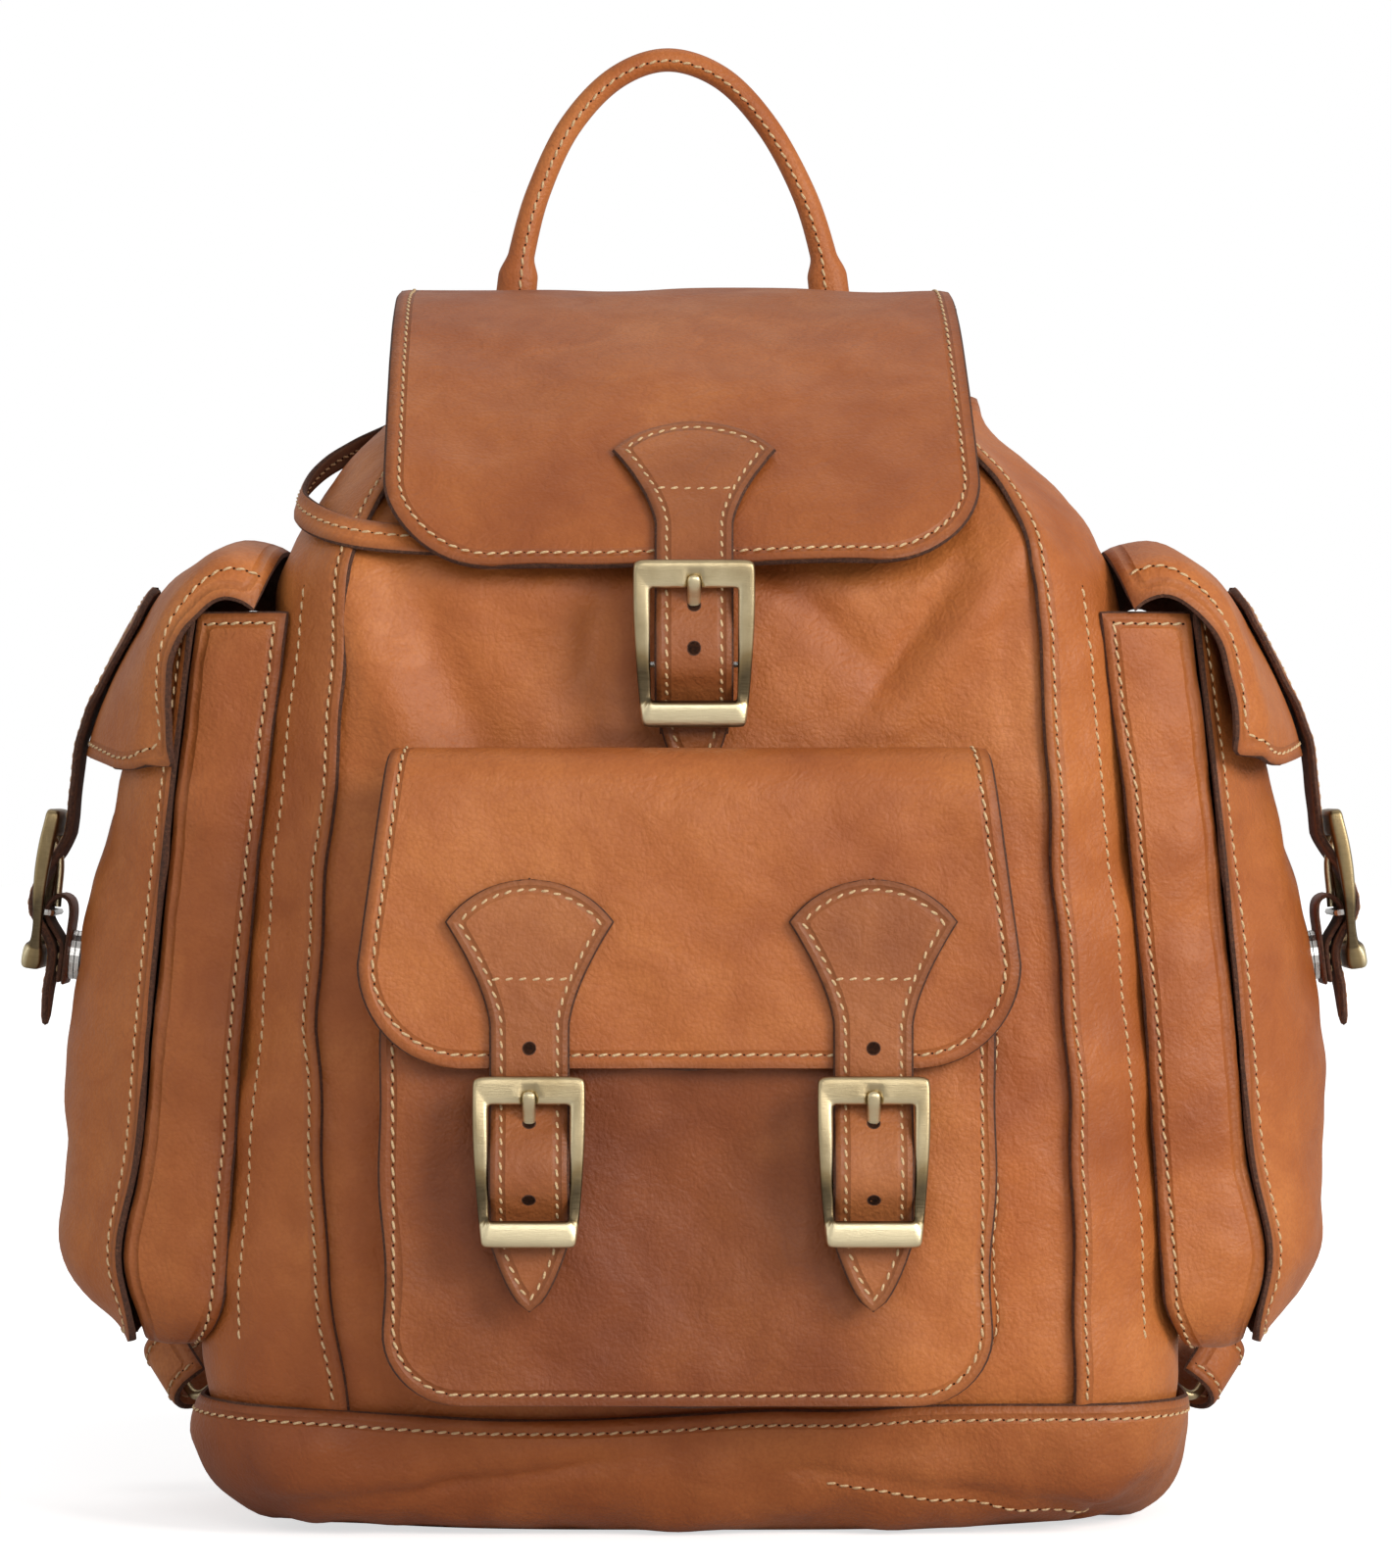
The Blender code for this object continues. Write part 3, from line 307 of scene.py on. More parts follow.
# ---------------------------------------------------------------- finishes
class Finish:
    """A material under construction: nodes are added by kind and joined by name."""

    def __init__(self, name):
        self.made = bpy.data.materials.new(name)
        self.made.use_nodes = True
        self.tree = self.made.node_tree
        self.shader = self.tree.nodes["Principled BSDF"]
        self.object_place = self.tree.nodes.new("ShaderNodeTexCoord").outputs["Object"]

    def node(self, kind, settings=(), **inputs):
        """A new node; an input is named, with _ for a space, or called i0, i1 and so on by its place."""
        item = self.tree.nodes.new("ShaderNode" + kind)
        for name, value in dict(settings).items():
            setattr(item, name, value)
        for name, value in inputs.items():
            self.put(item.inputs[int(name[1:])] if name[0] == "i" and name[1:].isdigit()
                     else item.inputs[name.replace("_", " ")], value)
        return item

    def put(self, socket, value):
        if isinstance(value, bpy.types.NodeSocket):
            self.tree.links.new(value, socket)
        else:
            socket.default_value = value

    def math(self, operation, a, b=0.0, clamp=False):
        return self.node("Math", {"operation": operation, "use_clamp": clamp}, i0=a, i1=b).outputs[0]

    def noise(self, scale, detail=3.0, rough=0.55, distortion=0.0, stretch=None):
        place = self.object_place
        if stretch is not None:
            place = self.node("Mapping", Vector=place, Scale=stretch).outputs[0]
        return self.node("TexNoise", Vector=place, Scale=scale, Detail=detail, Roughness=rough,
                         Distortion=distortion).outputs["Fac"]

    def cells(self, scale):
        return self.node("TexVoronoi", {"feature": "SMOOTH_F1"}, Vector=self.object_place, Scale=scale,
                         Smoothness=0.35).outputs["Distance"]

    def ramp(self, factor, stops):
        item = self.node("ValToRGB", i0=factor)
        bar = item.color_ramp
        while len(bar.elements) < len(stops):
            bar.elements.new(0.5)
        for element, (at, colour) in zip(bar.elements, stops):
            element.position = at
            element.color = (*colour, 1.0)
        return item.outputs["Color"]

    def mix(self, factor, a, b, blend="MIX"):
        item = self.node("Mix", {"data_type": "RGBA", "blend_type": blend})
        self.put(item.inputs[0], factor)
        self.put(item.inputs[6], a if isinstance(a, bpy.types.NodeSocket) else (*a, 1.0))
        self.put(item.inputs[7], b if isinstance(b, bpy.types.NodeSocket) else (*b, 1.0))
        return item.outputs[2]

    def attribute(self, name):
        """A number written on the mesh's points."""
        return self.node("Attribute", {"attribute_name": name}).outputs["Fac"]

    def band(self, value, low, high):
        """1 at low, 0 at high, straight between."""
        return self.node("MapRange", {"clamp": True}, Value=value, From_Min=low, From_Max=high,
                         To_Min=1.0, To_Max=0.0).outputs[0]

    def bump(self, height, distance, strength):
        return self.node("Bump", Height=height, Distance=distance, Strength=strength).outputs["Normal"]

    def gloss(self, value, low, high):
        """Roughness from low to high as a value goes from 0 to 1."""
        return self.node("MapRange", Value=value, To_Min=low, To_Max=high).outputs[0]

    def darker(self, colour, shade):
        return self.mix(1.0, colour, shade, "MULTIPLY")

    def part(self, value, share):
        return self.math("MULTIPLY", value, share)

    def finish(self, **inputs):
        for name, value in inputs.items():
            self.put(self.shader.inputs[name.replace("_", " ")], value)
        return self.made


def leather(name, deep, middle, pale):
    """Waxed full-grain leather: clouds of tone, fine pores, a burnished rim, a stitch groove and painted shade as a
    piece asks for it.
    """
    f = Finish(name)
    clouds = f.noise(9.0, 4.0, 0.6, 0.3)
    colour = f.ramp(clouds, [(0.32, deep), (0.5, middle), (0.7, pale)])
    blotch = f.noise(38.0, 5.0, 0.65, 0.8)
    colour = f.mix(f.band(blotch, 0.62, 0.38), colour, f.darker(colour, (0.86, 0.80, 0.76)))
    pores = f.cells(820.0)
    grain = f.noise(420.0, 3.0, 0.6, 0.6)
    pits = f.band(f.math("ADD", pores, f.part(grain, 0.45)), 0.62, 0.95)
    colour = f.mix(f.part(f.math("SUBTRACT", 1.0, pits), 0.22), colour, deep)
    off = f.math("DIVIDE", f.attribute("seam"), GROOVE_HALF)
    groove = f.math("MAXIMUM", f.math("SUBTRACT", 1.0, f.math("POWER", off, 2.0)), 0.0)
    # painted shade: the colour is darkened by the share that each piece writes on its points
    colour = f.mix(f.attribute("patina"), colour, f.darker(colour, (0.40, 0.30, 0.26)))
    burnish = f.part(f.band(f.attribute("edge"), 0.3, 3.0), 0.55)
    colour = f.mix(f.math("ADD", burnish, f.part(groove, 0.22), True), colour, tuple(0.42 * c for c in deep))
    creases = f.noise(95.0, 5.0, 0.62, 1.2)
    heights = f.math("ADD", f.part(creases, 0.55), f.part(grain, 0.22))
    heights = f.math("SUBTRACT", heights, f.part(pores, 0.12))
    heights = f.math("SUBTRACT", heights, f.part(groove, 0.5))
    return f.finish(Base_Color=colour, Roughness=f.gloss(blotch, 0.39, 0.61), Specular_IOR_Level=0.38,
                    Normal=f.bump(heights, 0.0016, 0.70))


def raw_edge():
    """Cut edge of the hide: dark, dyed fibres running along it, with lighter crumbs."""
    f = Finish("raw_edge")
    fibre = f.noise(900.0, 4.0, 0.7, 0.5)
    blotch = f.noise(160.0, 3.0, 0.6)
    colour = f.ramp(fibre, [(0.35, (0.030, 0.011, 0.006)), (0.55, (0.085, 0.031, 0.015)),
                            (0.78, (0.21, 0.085, 0.040))])
    colour = f.mix(f.part(blotch, 0.5), colour, (0.11, 0.038, 0.016))
    return f.finish(Base_Color=colour, Roughness=0.88, Normal=f.bump(fibre, 0.0012, 0.8))


def flesh_side():
    """The hide's unfinished inner side: brown, matt and velvety."""
    f = Finish("flesh_side")
    nap = f.noise(700.0, 4.0, 0.7)
    cloud = f.noise(24.0, 4.0, 0.6)
    colour = f.ramp(cloud, [(0.3, (0.105, 0.042, 0.019)), (0.7, (0.20, 0.082, 0.036))])
    colour = f.mix(f.part(nap, 0.45), colour, (0.075, 0.028, 0.013))
    return f.finish(Base_Color=colour, Roughness=0.93, Normal=f.bump(nap, 0.001, 0.6))


def thread():
    """Waxed cream thread with a faint twist."""
    f = Finish("thread")
    twist = f.noise(1500.0, 2.0, 0.5)
    dirt = f.noise(60.0, 3.0, 0.6)
    colour = f.ramp(twist, [(0.3, (0.50, 0.32, 0.155)), (0.65, (0.80, 0.59, 0.34))])
    colour = f.mix(f.part(dirt, 0.35), colour, (0.42, 0.24, 0.10))
    return f.finish(Base_Color=colour, Roughness=0.62, Normal=f.bump(twist, 0.0004, 0.6))


def needle_hole():
    """Painted shadow of the hole where the thread dives into the hide: dark and matt."""
    f = Finish("needle_hole")
    speck = f.noise(1200.0, 2.0, 0.5)
    colour = f.ramp(speck, [(0.3, (0.012, 0.005, 0.003)), (0.7, (0.04, 0.014, 0.006))])
    return f.finish(Base_Color=colour, Roughness=0.9, Specular_IOR_Level=0.1)


def antique_brass():
    """Brushed brass: pale rubbed high spots, brown lacquer left in the low ones, and on the buckle frames painted
    highlights and painted shade as well.
    """
    f = Finish("antique_brass")
    brushed = f.noise(260.0, 4.0, 0.65, 0.0, (1.0, 1.0, 9.0))
    cloud = f.noise(55.0, 4.0, 0.6, 0.4)
    # the tone follows the points' wear, and on the buckle frames painted highlight and painted shade too
    tone = f.math("ADD", f.part(cloud, 0.35), f.part(f.attribute("worn"), 0.75), True)
    colour = f.ramp(tone, [(0.18, (0.050, 0.032, 0.013)), (0.50, (0.27, 0.19, 0.085)),
                           (0.88, (0.78, 0.67, 0.43))])
    colour = f.mix(f.part(brushed, 0.30), colour, (0.46, 0.37, 0.23))
    return f.finish(Base_Color=colour, Metallic=1.0, Roughness=f.gloss(brushed, 0.26, 0.50),
                    Normal=f.bump(brushed, 0.0002, 0.35))


def bright_steel():
    """Nickelled wire and plate with light scratches."""
    f = Finish("bright_nickel")
    scratch = f.noise(500.0, 3.0, 0.6, 0.0, (9.0, 1.0, 1.0))
    colour = f.ramp(scratch, [(0.3, (0.50, 0.48, 0.45)), (0.7, (0.78, 0.76, 0.73))])
    return f.finish(Base_Color=colour, Metallic=1.0, Roughness=f.gloss(scratch, 0.16, 0.38),
                    Normal=f.bump(scratch, 0.0001, 0.3))


TAN = leather("cognac_leather", (0.33, 0.084, 0.017), (0.47, 0.141, 0.031), (0.57, 0.196, 0.050))
STRAP_TAN = leather("strap_leather", (0.27, 0.078, 0.020), (0.37, 0.118, 0.033), (0.45, 0.155, 0.047))
RAW = raw_edge()
FLESH = flesh_side()
THREAD = thread()
HOLE_SHADOW = needle_hole()
BRASS = antique_brass()
STEEL = bright_steel()


# ---------------------------------------------------------------- mesh making
# where each flap's bending begins and ends, in metres
FOLDS = {"main_lid": ((0.0, 0.0768, 0.4015), (0.0, 0.0588, 0.4015)),
         "pocket_lid": ((0.0, -0.0965, 0.2475), (0.0, -0.1085, 0.2475)),
         "side_lid_left": ((-0.132, 0.0, 0.312), (-0.150, 0.0, 0.312)),
         "side_lid_right": ((0.132, 0.0, 0.312), (0.150, 0.0, 0.312))}


def piece(name, body, points, faces, finishes, kinds=None, stands_for=(), slot="body_leather", fold=False,
          **notes):
    """One finished object: points in millimetres, faces as an index array or list.

    With fold, it stays with the bag at its root and bends across the flap's fold.  The notes are numbers
    written on the points, which the finishes read.
    """
    mesh = bpy.data.meshes.new(name)
    mesh.from_pydata((np.asarray(points, float) * MM).tolist(), [],
                     faces if isinstance(faces, list) else faces.tolist())
    for made in finishes:
        mesh.materials.append(made)
    if kinds is not None:
        mesh.polygons.foreach_set("material_index", np.asarray(kinds, np.int32))
    for note, values in notes.items():
        layer = mesh.attributes.new(note, "FLOAT", "POINT")
        layer.data.foreach_set("value", np.asarray(values, np.float32))
    mesh.shade_smooth()
    mesh.set_sharp_from_angle(angle=radians(48))
    mesh.update()
    item = bpy.data.objects.new(name, mesh)
    bpy.context.scene.collection.objects.link(item)
    if fold:
        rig.blend(item, "bag", body, *FOLDS[body])
    else:
        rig.ride(item, body)
    if stands_for:
        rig.replaces(item, *stands_for)
    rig.slot(item, slot)


def panel(name, body, skin, u, v, thick=LEATHER, finish=TAN, stands_for=(), inset=None, slot="body_leather",
          inner=FLESH, patina=None, fold=False):
    """A leather panel: two faces half a thickness off the skin and a rounded raw edge.

    The rim's middle line stands out about a quarter of a thickness past the border.
    """
    u, v = np.broadcast_arrays(u, v)
    middle = skin(u, v)
    rows, columns = u.shape
    normal = unit(np.cross(np.gradient(middle, axis=1), np.gradient(middle, axis=0))) * skin.side
    rise = np.full(u.shape, thick / 2)
    rise[[0, -1], :] *= 0.72
    rise[:, [0, -1]] *= 0.72
    outer, under = middle + normal * rise[..., None], middle - normal * rise[..., None]
    row = np.concatenate([np.zeros(columns - 1), np.arange(rows - 1), np.full(columns - 1, rows - 1),
                          np.arange(rows - 1, 0, -1)]).astype(int)
    column = np.concatenate([np.arange(columns - 1), np.full(rows - 1, columns - 1),
                             np.arange(columns - 1, 0, -1), np.zeros(rows - 1)]).astype(int)
    border = middle[row, column]
    away = unit(border - middle[np.clip(row, 1, rows - 2), np.clip(column, 1, columns - 2)])
    rim = border + away * thick * 0.24
    count = rows * columns
    ring = row * columns + column
    after = np.roll(ring, -1)
    lip = 2 * count + np.arange(len(ring))
    lip_after = np.roll(lip, -1)
    first = (np.arange(rows - 1)[:, None] * columns + np.arange(columns - 1)).ravel()
    quads = np.stack([first, first + 1, first + columns + 1, first + columns], 1)
    faces = np.vstack([quads, quads[:, ::-1] + count,
                       np.stack([ring, lip, lip_after, after], 1),
                       np.stack([lip, ring + count, after + count, lip_after], 1)])
    kinds = np.concatenate([np.zeros(len(quads)), np.full(len(quads), 2), np.ones(2 * len(ring))])
    if skin.side < 0:
        faces = faces[:, ::-1]
    flat = middle.reshape(-1, 3)
    dense = evenly(closed_line(border), 1.0)
    edge = np.concatenate([np.linalg.norm(part[:, None] - dense[None], axis=-1).min(1)
                           for part in np.array_split(flat, 1 + len(flat) // 2000)])
    edges = np.concatenate([edge, edge, np.zeros(len(ring))])
    seams = np.full(len(edges), NO_SEAM)
    if inset:
        seams[:count] = edge - inset
    # painted shade: a share by which the leather's colour is darkened at each point, none where it isn't given
    dark = np.zeros(u.shape) if patina is None else patina(u, v)
    piece(name, body, np.vstack([outer.reshape(-1, 3), under.reshape(-1, 3), rim]), faces,
          [finish, RAW, inner], kinds, stands_for, slot, fold, edge=edges, seam=seams,
          patina=np.concatenate([dark.ravel(), dark.ravel(), dark[row, column]]))


def ring_faces(count, sides, closed):
    """The quads between rings of points, one ring after another; closed joins the last to the first."""
    i, j = (w.ravel() for w in np.meshgrid(np.arange(count if closed else count - 1), np.arange(sides),
                                           indexing="ij"))
    i_after, j_after = (i + 1) % count, (j + 1) % sides
    return np.stack([i * sides + j, i * sides + j_after, i_after * sides + j_after, i_after * sides + j], 1)


def squared(angle, power):
    """The cosine and sine of the angles, made squarer by a power below 1."""
    return (np.sign(w) * np.abs(w) ** power for w in (np.cos(angle), np.sin(angle)))


def tube(name, body, path, radius, finish, up, sides, closed=False, squash=1.0, stands_for=(), slot="brass",
         worn=0.7, square=1.0):
    """A bar along a path: at each point an oval ring, radius wide and squash times as deep.

    A ring's two axes are up, made square to the path, and the cross product of the path's way and that.
    """
    count = len(path)
    step = unit((np.roll(path, -1, 0) - np.roll(path, 1, 0)) if closed else np.gradient(path, axis=0))
    rise = np.broadcast_to(np.asarray(up, float), step.shape)
    rise = unit(rise - step * (rise * step).sum(1, keepdims=True))
    beside = np.cross(step, rise)
    across, lift = squared(np.linspace(0, 2 * pi, sides, endpoint=False), square)
    wide = np.broadcast_to(radius, (count,))[:, None, None]
    deep = wide * np.broadcast_to(squash, (count,))[:, None, None]
    rings = (path[:, None] + beside[:, None] * across[None, :, None] * wide
             + rise[:, None] * lift[None, :, None] * deep)
    faces = ring_faces(count, sides, closed).tolist()
    if not closed:
        faces.append(list(range(sides))[::-1])
        faces.append([(count - 1) * sides + k for k in range(sides)])
    points = rings.reshape(-1, 3)
    far = np.full(len(points), NO_SEAM)
    piece(name, body, points, faces, [finish], None, stands_for, slot,
          worn=np.full(len(points), worn), edge=far, seam=far)


# one stitch: a ring of points at each (place along, width)
STITCH_RINGS = np.array([(-1.0, 0.05), (-0.86, 0.62), (-0.5, 1.0), (0.0, 1.06), (0.5, 1.0), (0.86, 0.62),
                         (1.0, 0.05)])
STITCH_SIDES = 6
STITCH_POINTS = len(STITCH_RINGS) * STITCH_SIDES
# the faces that close its two ends
STITCH_ENDS = np.array([[3, 2, 1, 0], [5, 4, 3, 0], [36, 37, 38, 39], [36, 39, 40, 41]])
STITCH_SLANT = radians(13.0)
HOLE_SIDES = 8
SHORT = dict(pitch=3.9, long=2.9)              # the stitches of straps and of the handle
FINE = dict(pitch=3.9, long=2.8, thick=0.38)   # and those of chapes and ring tabs


def stitches(name, body, rows, pitch=4.15, long=3.15, thick=0.40, fold=False):
    """Rows of slanted stitches: each a small spindle whose ends dip in, and between two a dark lens of painted shadow
    for the needle hole.

    rows holds (skin, line of (u, v), distance above the skin).
    """
    places, normals, headings = [], [], []
    for skin, line, lift in rows:
        point, normal = skin.read(line[:, 0], line[:, 1])
        point = point + normal * lift
        at = along(point)
        count = max(2, round(at[-1] / pitch))
        where = (np.arange(count) + 0.5) * at[-1] / count
        places.append(np.stack([between(where, at, point), between(where + pitch / 2, at, point)]))
        normals.append(between(where, at, normal))
        headings.append(between(where + 0.6, at, point) - between(where - 0.6, at, point))
    middles, gaps = np.concatenate(places, 1)
    up, step = unit(np.concatenate(normals)), unit(np.concatenate(headings))
    beside = np.cross(up, step)
    line_way = step * cos(STITCH_SLANT) + beside * sin(STITCH_SLANT)
    line_beside = np.cross(up, line_way)
    angle = np.arange(STITCH_SIDES) * 2 * pi / STITCH_SIDES
    place, girth_share = STITCH_RINGS[:, 0, None], STITCH_RINGS[:, 1, None]
    reach = place * long / 2 + 0 * angle
    wide = girth_share * thick * np.cos(angle)
    high = girth_share * thick * 0.9 * np.sin(angle) + 0.12 - 0.42 * place ** 4
    spindle = middles[:, None, None]
    for way, size in ((line_way, reach), (line_beside, wide), (up, high)):
        spindle = spindle + way[:, None, None] * size[None, ..., None]
    quads = np.vstack([ring_faces(len(STITCH_RINGS), STITCH_SIDES, False), STITCH_ENDS])
    count = len(middles)
    faces = (quads[None] + STITCH_POINTS * np.arange(count)[:, None, None]).reshape(-1, 4).tolist()
    # the lens: a dark patch of painted shadow for the needle hole, barely sunk into the leather
    k = np.arange(HOLE_SIDES)
    angle = k * 2 * pi / HOLE_SIDES
    lens = (gaps[:, None] + step[:, None] * (0.46 * np.cos(angle))[None, :, None]
            + beside[:, None] * (0.36 * np.sin(angle))[None, :, None] - 0.02 * up[:, None])
    blob = np.concatenate([lens, np.stack([gaps + up * 0.07, gaps - up * 0.3], 1)], 1)
    after, top = (k + 1) % HOLE_SIDES, 0 * k + HOLE_SIDES
    fans = np.vstack([np.stack([k, after, top], 1), np.stack([after, k, top + 1], 1)])
    fans = fans[None] + STITCH_POINTS * count + (HOLE_SIDES + 2) * np.arange(count)[:, None, None]
    lens_faces = fans.reshape(-1, 3).tolist()
    points = np.vstack([spindle.reshape(-1, 3), blob.reshape(-1, 3)])
    kinds = np.concatenate([np.zeros(len(faces)), np.ones(len(lens_faces))])
    piece(name, body, points, faces + lens_faces, [THREAD, HOLE_SHADOW], kinds, (), "trim_leather", fold)


# ---------------------------------------------------------------- bag body
def rounded(z, heights, values, reach):
    """A table read by height, its corners rounded by averaging over reach millimetres up and down."""
    return sum(np.interp(z + shift, heights, values) for shift in np.linspace(-reach, reach, 5)) / 5


def body_width(z):
    return rounded(z, LEVELS, HALF_WIDTHS, 5.0)


def body_front(z):
    return rounded(z, LEVELS, FRONTS, 5.0)


def ridge_rise(g):
    """How much higher the shoulder's ridge runs than the plain levels, round the girth."""
    return 13.0 * mound(g, 152.0, 34.0) + 4.0 * mound(g, -165.0, 45.0)


def front_turn(near):
    """Radius of the front corners where the front stands near millimetres out."""
    return np.minimum(FRONT_CORNER, (near + BACK) * 0.45)


def girth(g, z, out):
    """The bag's outline at height z: a rounded rectangle, flat in front as far as g = 150, then a
    quarter turn, the side, a smaller turn at 350 to 400 and the flat back."""
    level = z - ridge_rise(g) * ease((z - 270.0) / 35.0)
    t, side = np.abs(g) / GIRTH, np.where(g < 0, -1.0, 1.0)
    wide, near = body_width(level), body_front(level)
    turn = front_turn(near) + out
    wide, near, far, rear = wide + out, near + out, BACK + out, BACK_CORNER + out
    fore, aft = np.clip((t - 0.3) / 0.2, 0, 1) * pi / 2, np.clip((t - 0.7) / 0.1, 0, 1) * pi / 2
    share = (t - 0.5) / 0.2
    zones = [t < 0.3, t < 0.5, t < 0.7, t < 0.8]
    x = np.select(zones, [(wide - turn) * t / 0.3, wide - turn + turn * np.sin(fore), wide,
                          wide - rear + rear * np.cos(aft)], (wide - rear) * (1 - t) / 0.2)
    y = np.select(zones, [-near + 0 * t, -near + turn - turn * np.cos(fore),
                          (-near + turn) * (1 - share) + (far - rear) * share,
                          far - rear + rear * np.sin(aft)], far + 0 * t)
    return np.stack(np.broadcast_arrays(side * x, y, z), -1)


def body_height(z, point):
    """The full bag's sag: long swells, shorter folds, and a tuck where the body goes into the base."""
    swell = 1.5 * wander(point, 150.0, 3) + 0.62 * wander(point, 46.0, 4) + 0.24 * wander(point, 17.0, 5)
    return swell * ease((z - 30.0) / 30.0) * ease((385.0 - z) / 40.0) - 3.6 * mound(z, 34.0, 13.0)


def body_skin(extra):
    """The body's wall, whose outer face is on the outline, with a height of its own added."""
    return Skin(lambda g, z: girth(g, z, -HALF_THICK), 1.0,
                lambda g, z, point: body_height(z, point) + extra(g, z), BODY_STEP)


# heights, and the place round the girth where a front seam crosses each
SEAM_LEFT = ([39.0, 84.0, 115.0, 161.0, 238.0, 287.0, 340.0],
             [-138.0, -147.0, -153.0, -163.0, -164.0, -169.0, -168.0])
SEAM_RIGHT = ([39.0, 84.0, 161.0, 238.0, 300.0, 323.0, 345.0],
              [150.0, 156.0, 158.5, 163.5, 167.5, 164.0, 160.0])
BODY_FOOT, BODY_TOP = 33.0, 364.5      # where the front and side sheets begin and end
BACK_TOP, RIM_TOP = 398.0, 372.0       # the back sheet runs on up from the last level to the flap's fold
BODY_STEP = 0.4                        # how finely the body's slopes are read


def seam_place(table, z):
    """Place round the girth of a front seam at a height, cut a little unevenly."""
    return np.interp(z, *table) + 0.9 * np.sin(z / 19.0) + 0.6 * np.sin(z / 7.3 + 1.0)


def front_folds(g, z):
    """Folds of the full front: one runs in from each upper corner, with hollows beside them, by the main
    buckle and under the flap, and the hide drops at the side seams."""
    x = g / 1.45
    left = 4.2 * mound(x + 0.55 * (z - 250.0), -92.0, 11.0) * mound(z, 275.0, 45.0)
    right = 4.2 * mound(x - 0.8 * (z - 262.0), 70.0, 9.0) * mound(z, 282.0, 30.0)
    dip = -3.2 * mound(x + 0.55 * (z - 250.0), -68.0, 10.0) * mound(z, 275.0, 40.0)
    beside_buckle = -2.8 * mound(x - 0.25 * (z - 280.0), -34.0, 8.0) * mound(z, 285.0, 26.0)
    under_flap = -2.8 * mound(x + 0.9 * (z - 290.0), 44.0, 9.0) * mound(z, 290.0, 24.0)
    corner = -2.2 * mound(x - 0.8 * (z - 262.0), 54.0, 5.0) * mound(z, 285.0, 24.0)
    tucked = -1.1 * ease((np.abs(g) - 138.0) / 14.0)
    return left + right + dip + beside_buckle + under_flap + corner + tucked


def build_body():
    """The front sheet, the side sheets lapped over its edges and the back sheet lapped over theirs."""
    z = np.linspace(BODY_FOOT, BODY_TOP, 118)[:, None]
    left, right = seam_place(SEAM_LEFT, z) - 7.0, seam_place(SEAM_RIGHT, z) + 7.0
    g = left + (right - left) * np.linspace(0, 1, 120)
    panel("front_panel_leather", "bag", body_skin(front_folds), g, z, stands_for=["front_panel"])
    for (side, name), table in zip(SIDES, (SEAM_LEFT, SEAM_RIGHT)):
        def lap(g, z, table=table):
            return 2.9 * mound(g, seam_place(table, z), 16.0)
        skin = body_skin(lap)
        seam = seam_place(table, z)
        g = seam + (side * 378.0 - seam) * np.linspace(0, 1, 84) ** 1.15
        panel("side_gusset_leather_" + name, "bag", skin, g[:, ::side], z, stands_for=["side_gusset_" + name],
              inset=SEAM_INSET)
        seam_run, pocket_run = np.linspace(44.0, 361.0, 200), np.linspace(62.0, 300.0, 160)
        rows = [(skin, track(seam_place(table, seam_run) + side * 5.2, seam_run), HALF_THICK),
                (skin, track(side * 197.5, pocket_run), HALF_THICK)]
        stitches("stitching_side_gusset_" + name, "bag", rows)

    def back_shape(g, z):
        g = np.where(g > GIRTH, g - 2 * GIRTH, g)
        point = girth(g, np.minimum(z, RIM_TOP), -HALF_THICK)
        point[..., 2] += np.maximum(z - RIM_TOP, 0)
        return point

    def back_height(g, z, point):
        return body_height(z, point) * 0.6 + 3.2 * mound(np.abs(g - GIRTH), 128.0, 14.0)

    z = np.concatenate([np.linspace(BODY_FOOT, RIM_TOP, 90), np.linspace(RIM_TOP, BACK_TOP, 10)[1:]])[:, None]
    back = Skin(back_shape, 1.0, back_height, BODY_STEP)
    panel("back_panel_leather", "bag", back, np.linspace(372.0, 628.0, 96), z, stands_for=["back_panel"],
          inset=SEAM_INSET)
    down = np.linspace(44.0, 392.0, 200)
    stitches("stitching_back_panel", "bag", [(back, track(at, down), HALF_THICK) for at in (377.0, 623.0)])


# places round the girth, and how far down from the rim a seam or a fold runs at each
BASE_SEAM = ([46.0, 110.0, 190.0], [19.0, 27.0, 38.0])
BASE_FOLD = ([-190.0, -110.0, -30.0], [32.0, 28.0, 14.0])
BASE_RIM = 40.0
BASE_PROFILE = [(1.6, 42.6), (1.6, 38.0), (0.6, 30.0), (-1.2, 20.0), (-4.6, 12.0), (-9.6, 6.2), (-16.0, 3.4),
                (-24.0, 2.0)]          # out from the outline, height
TO_MIDDLE = 60.0                       # the flat underside is read over this much more


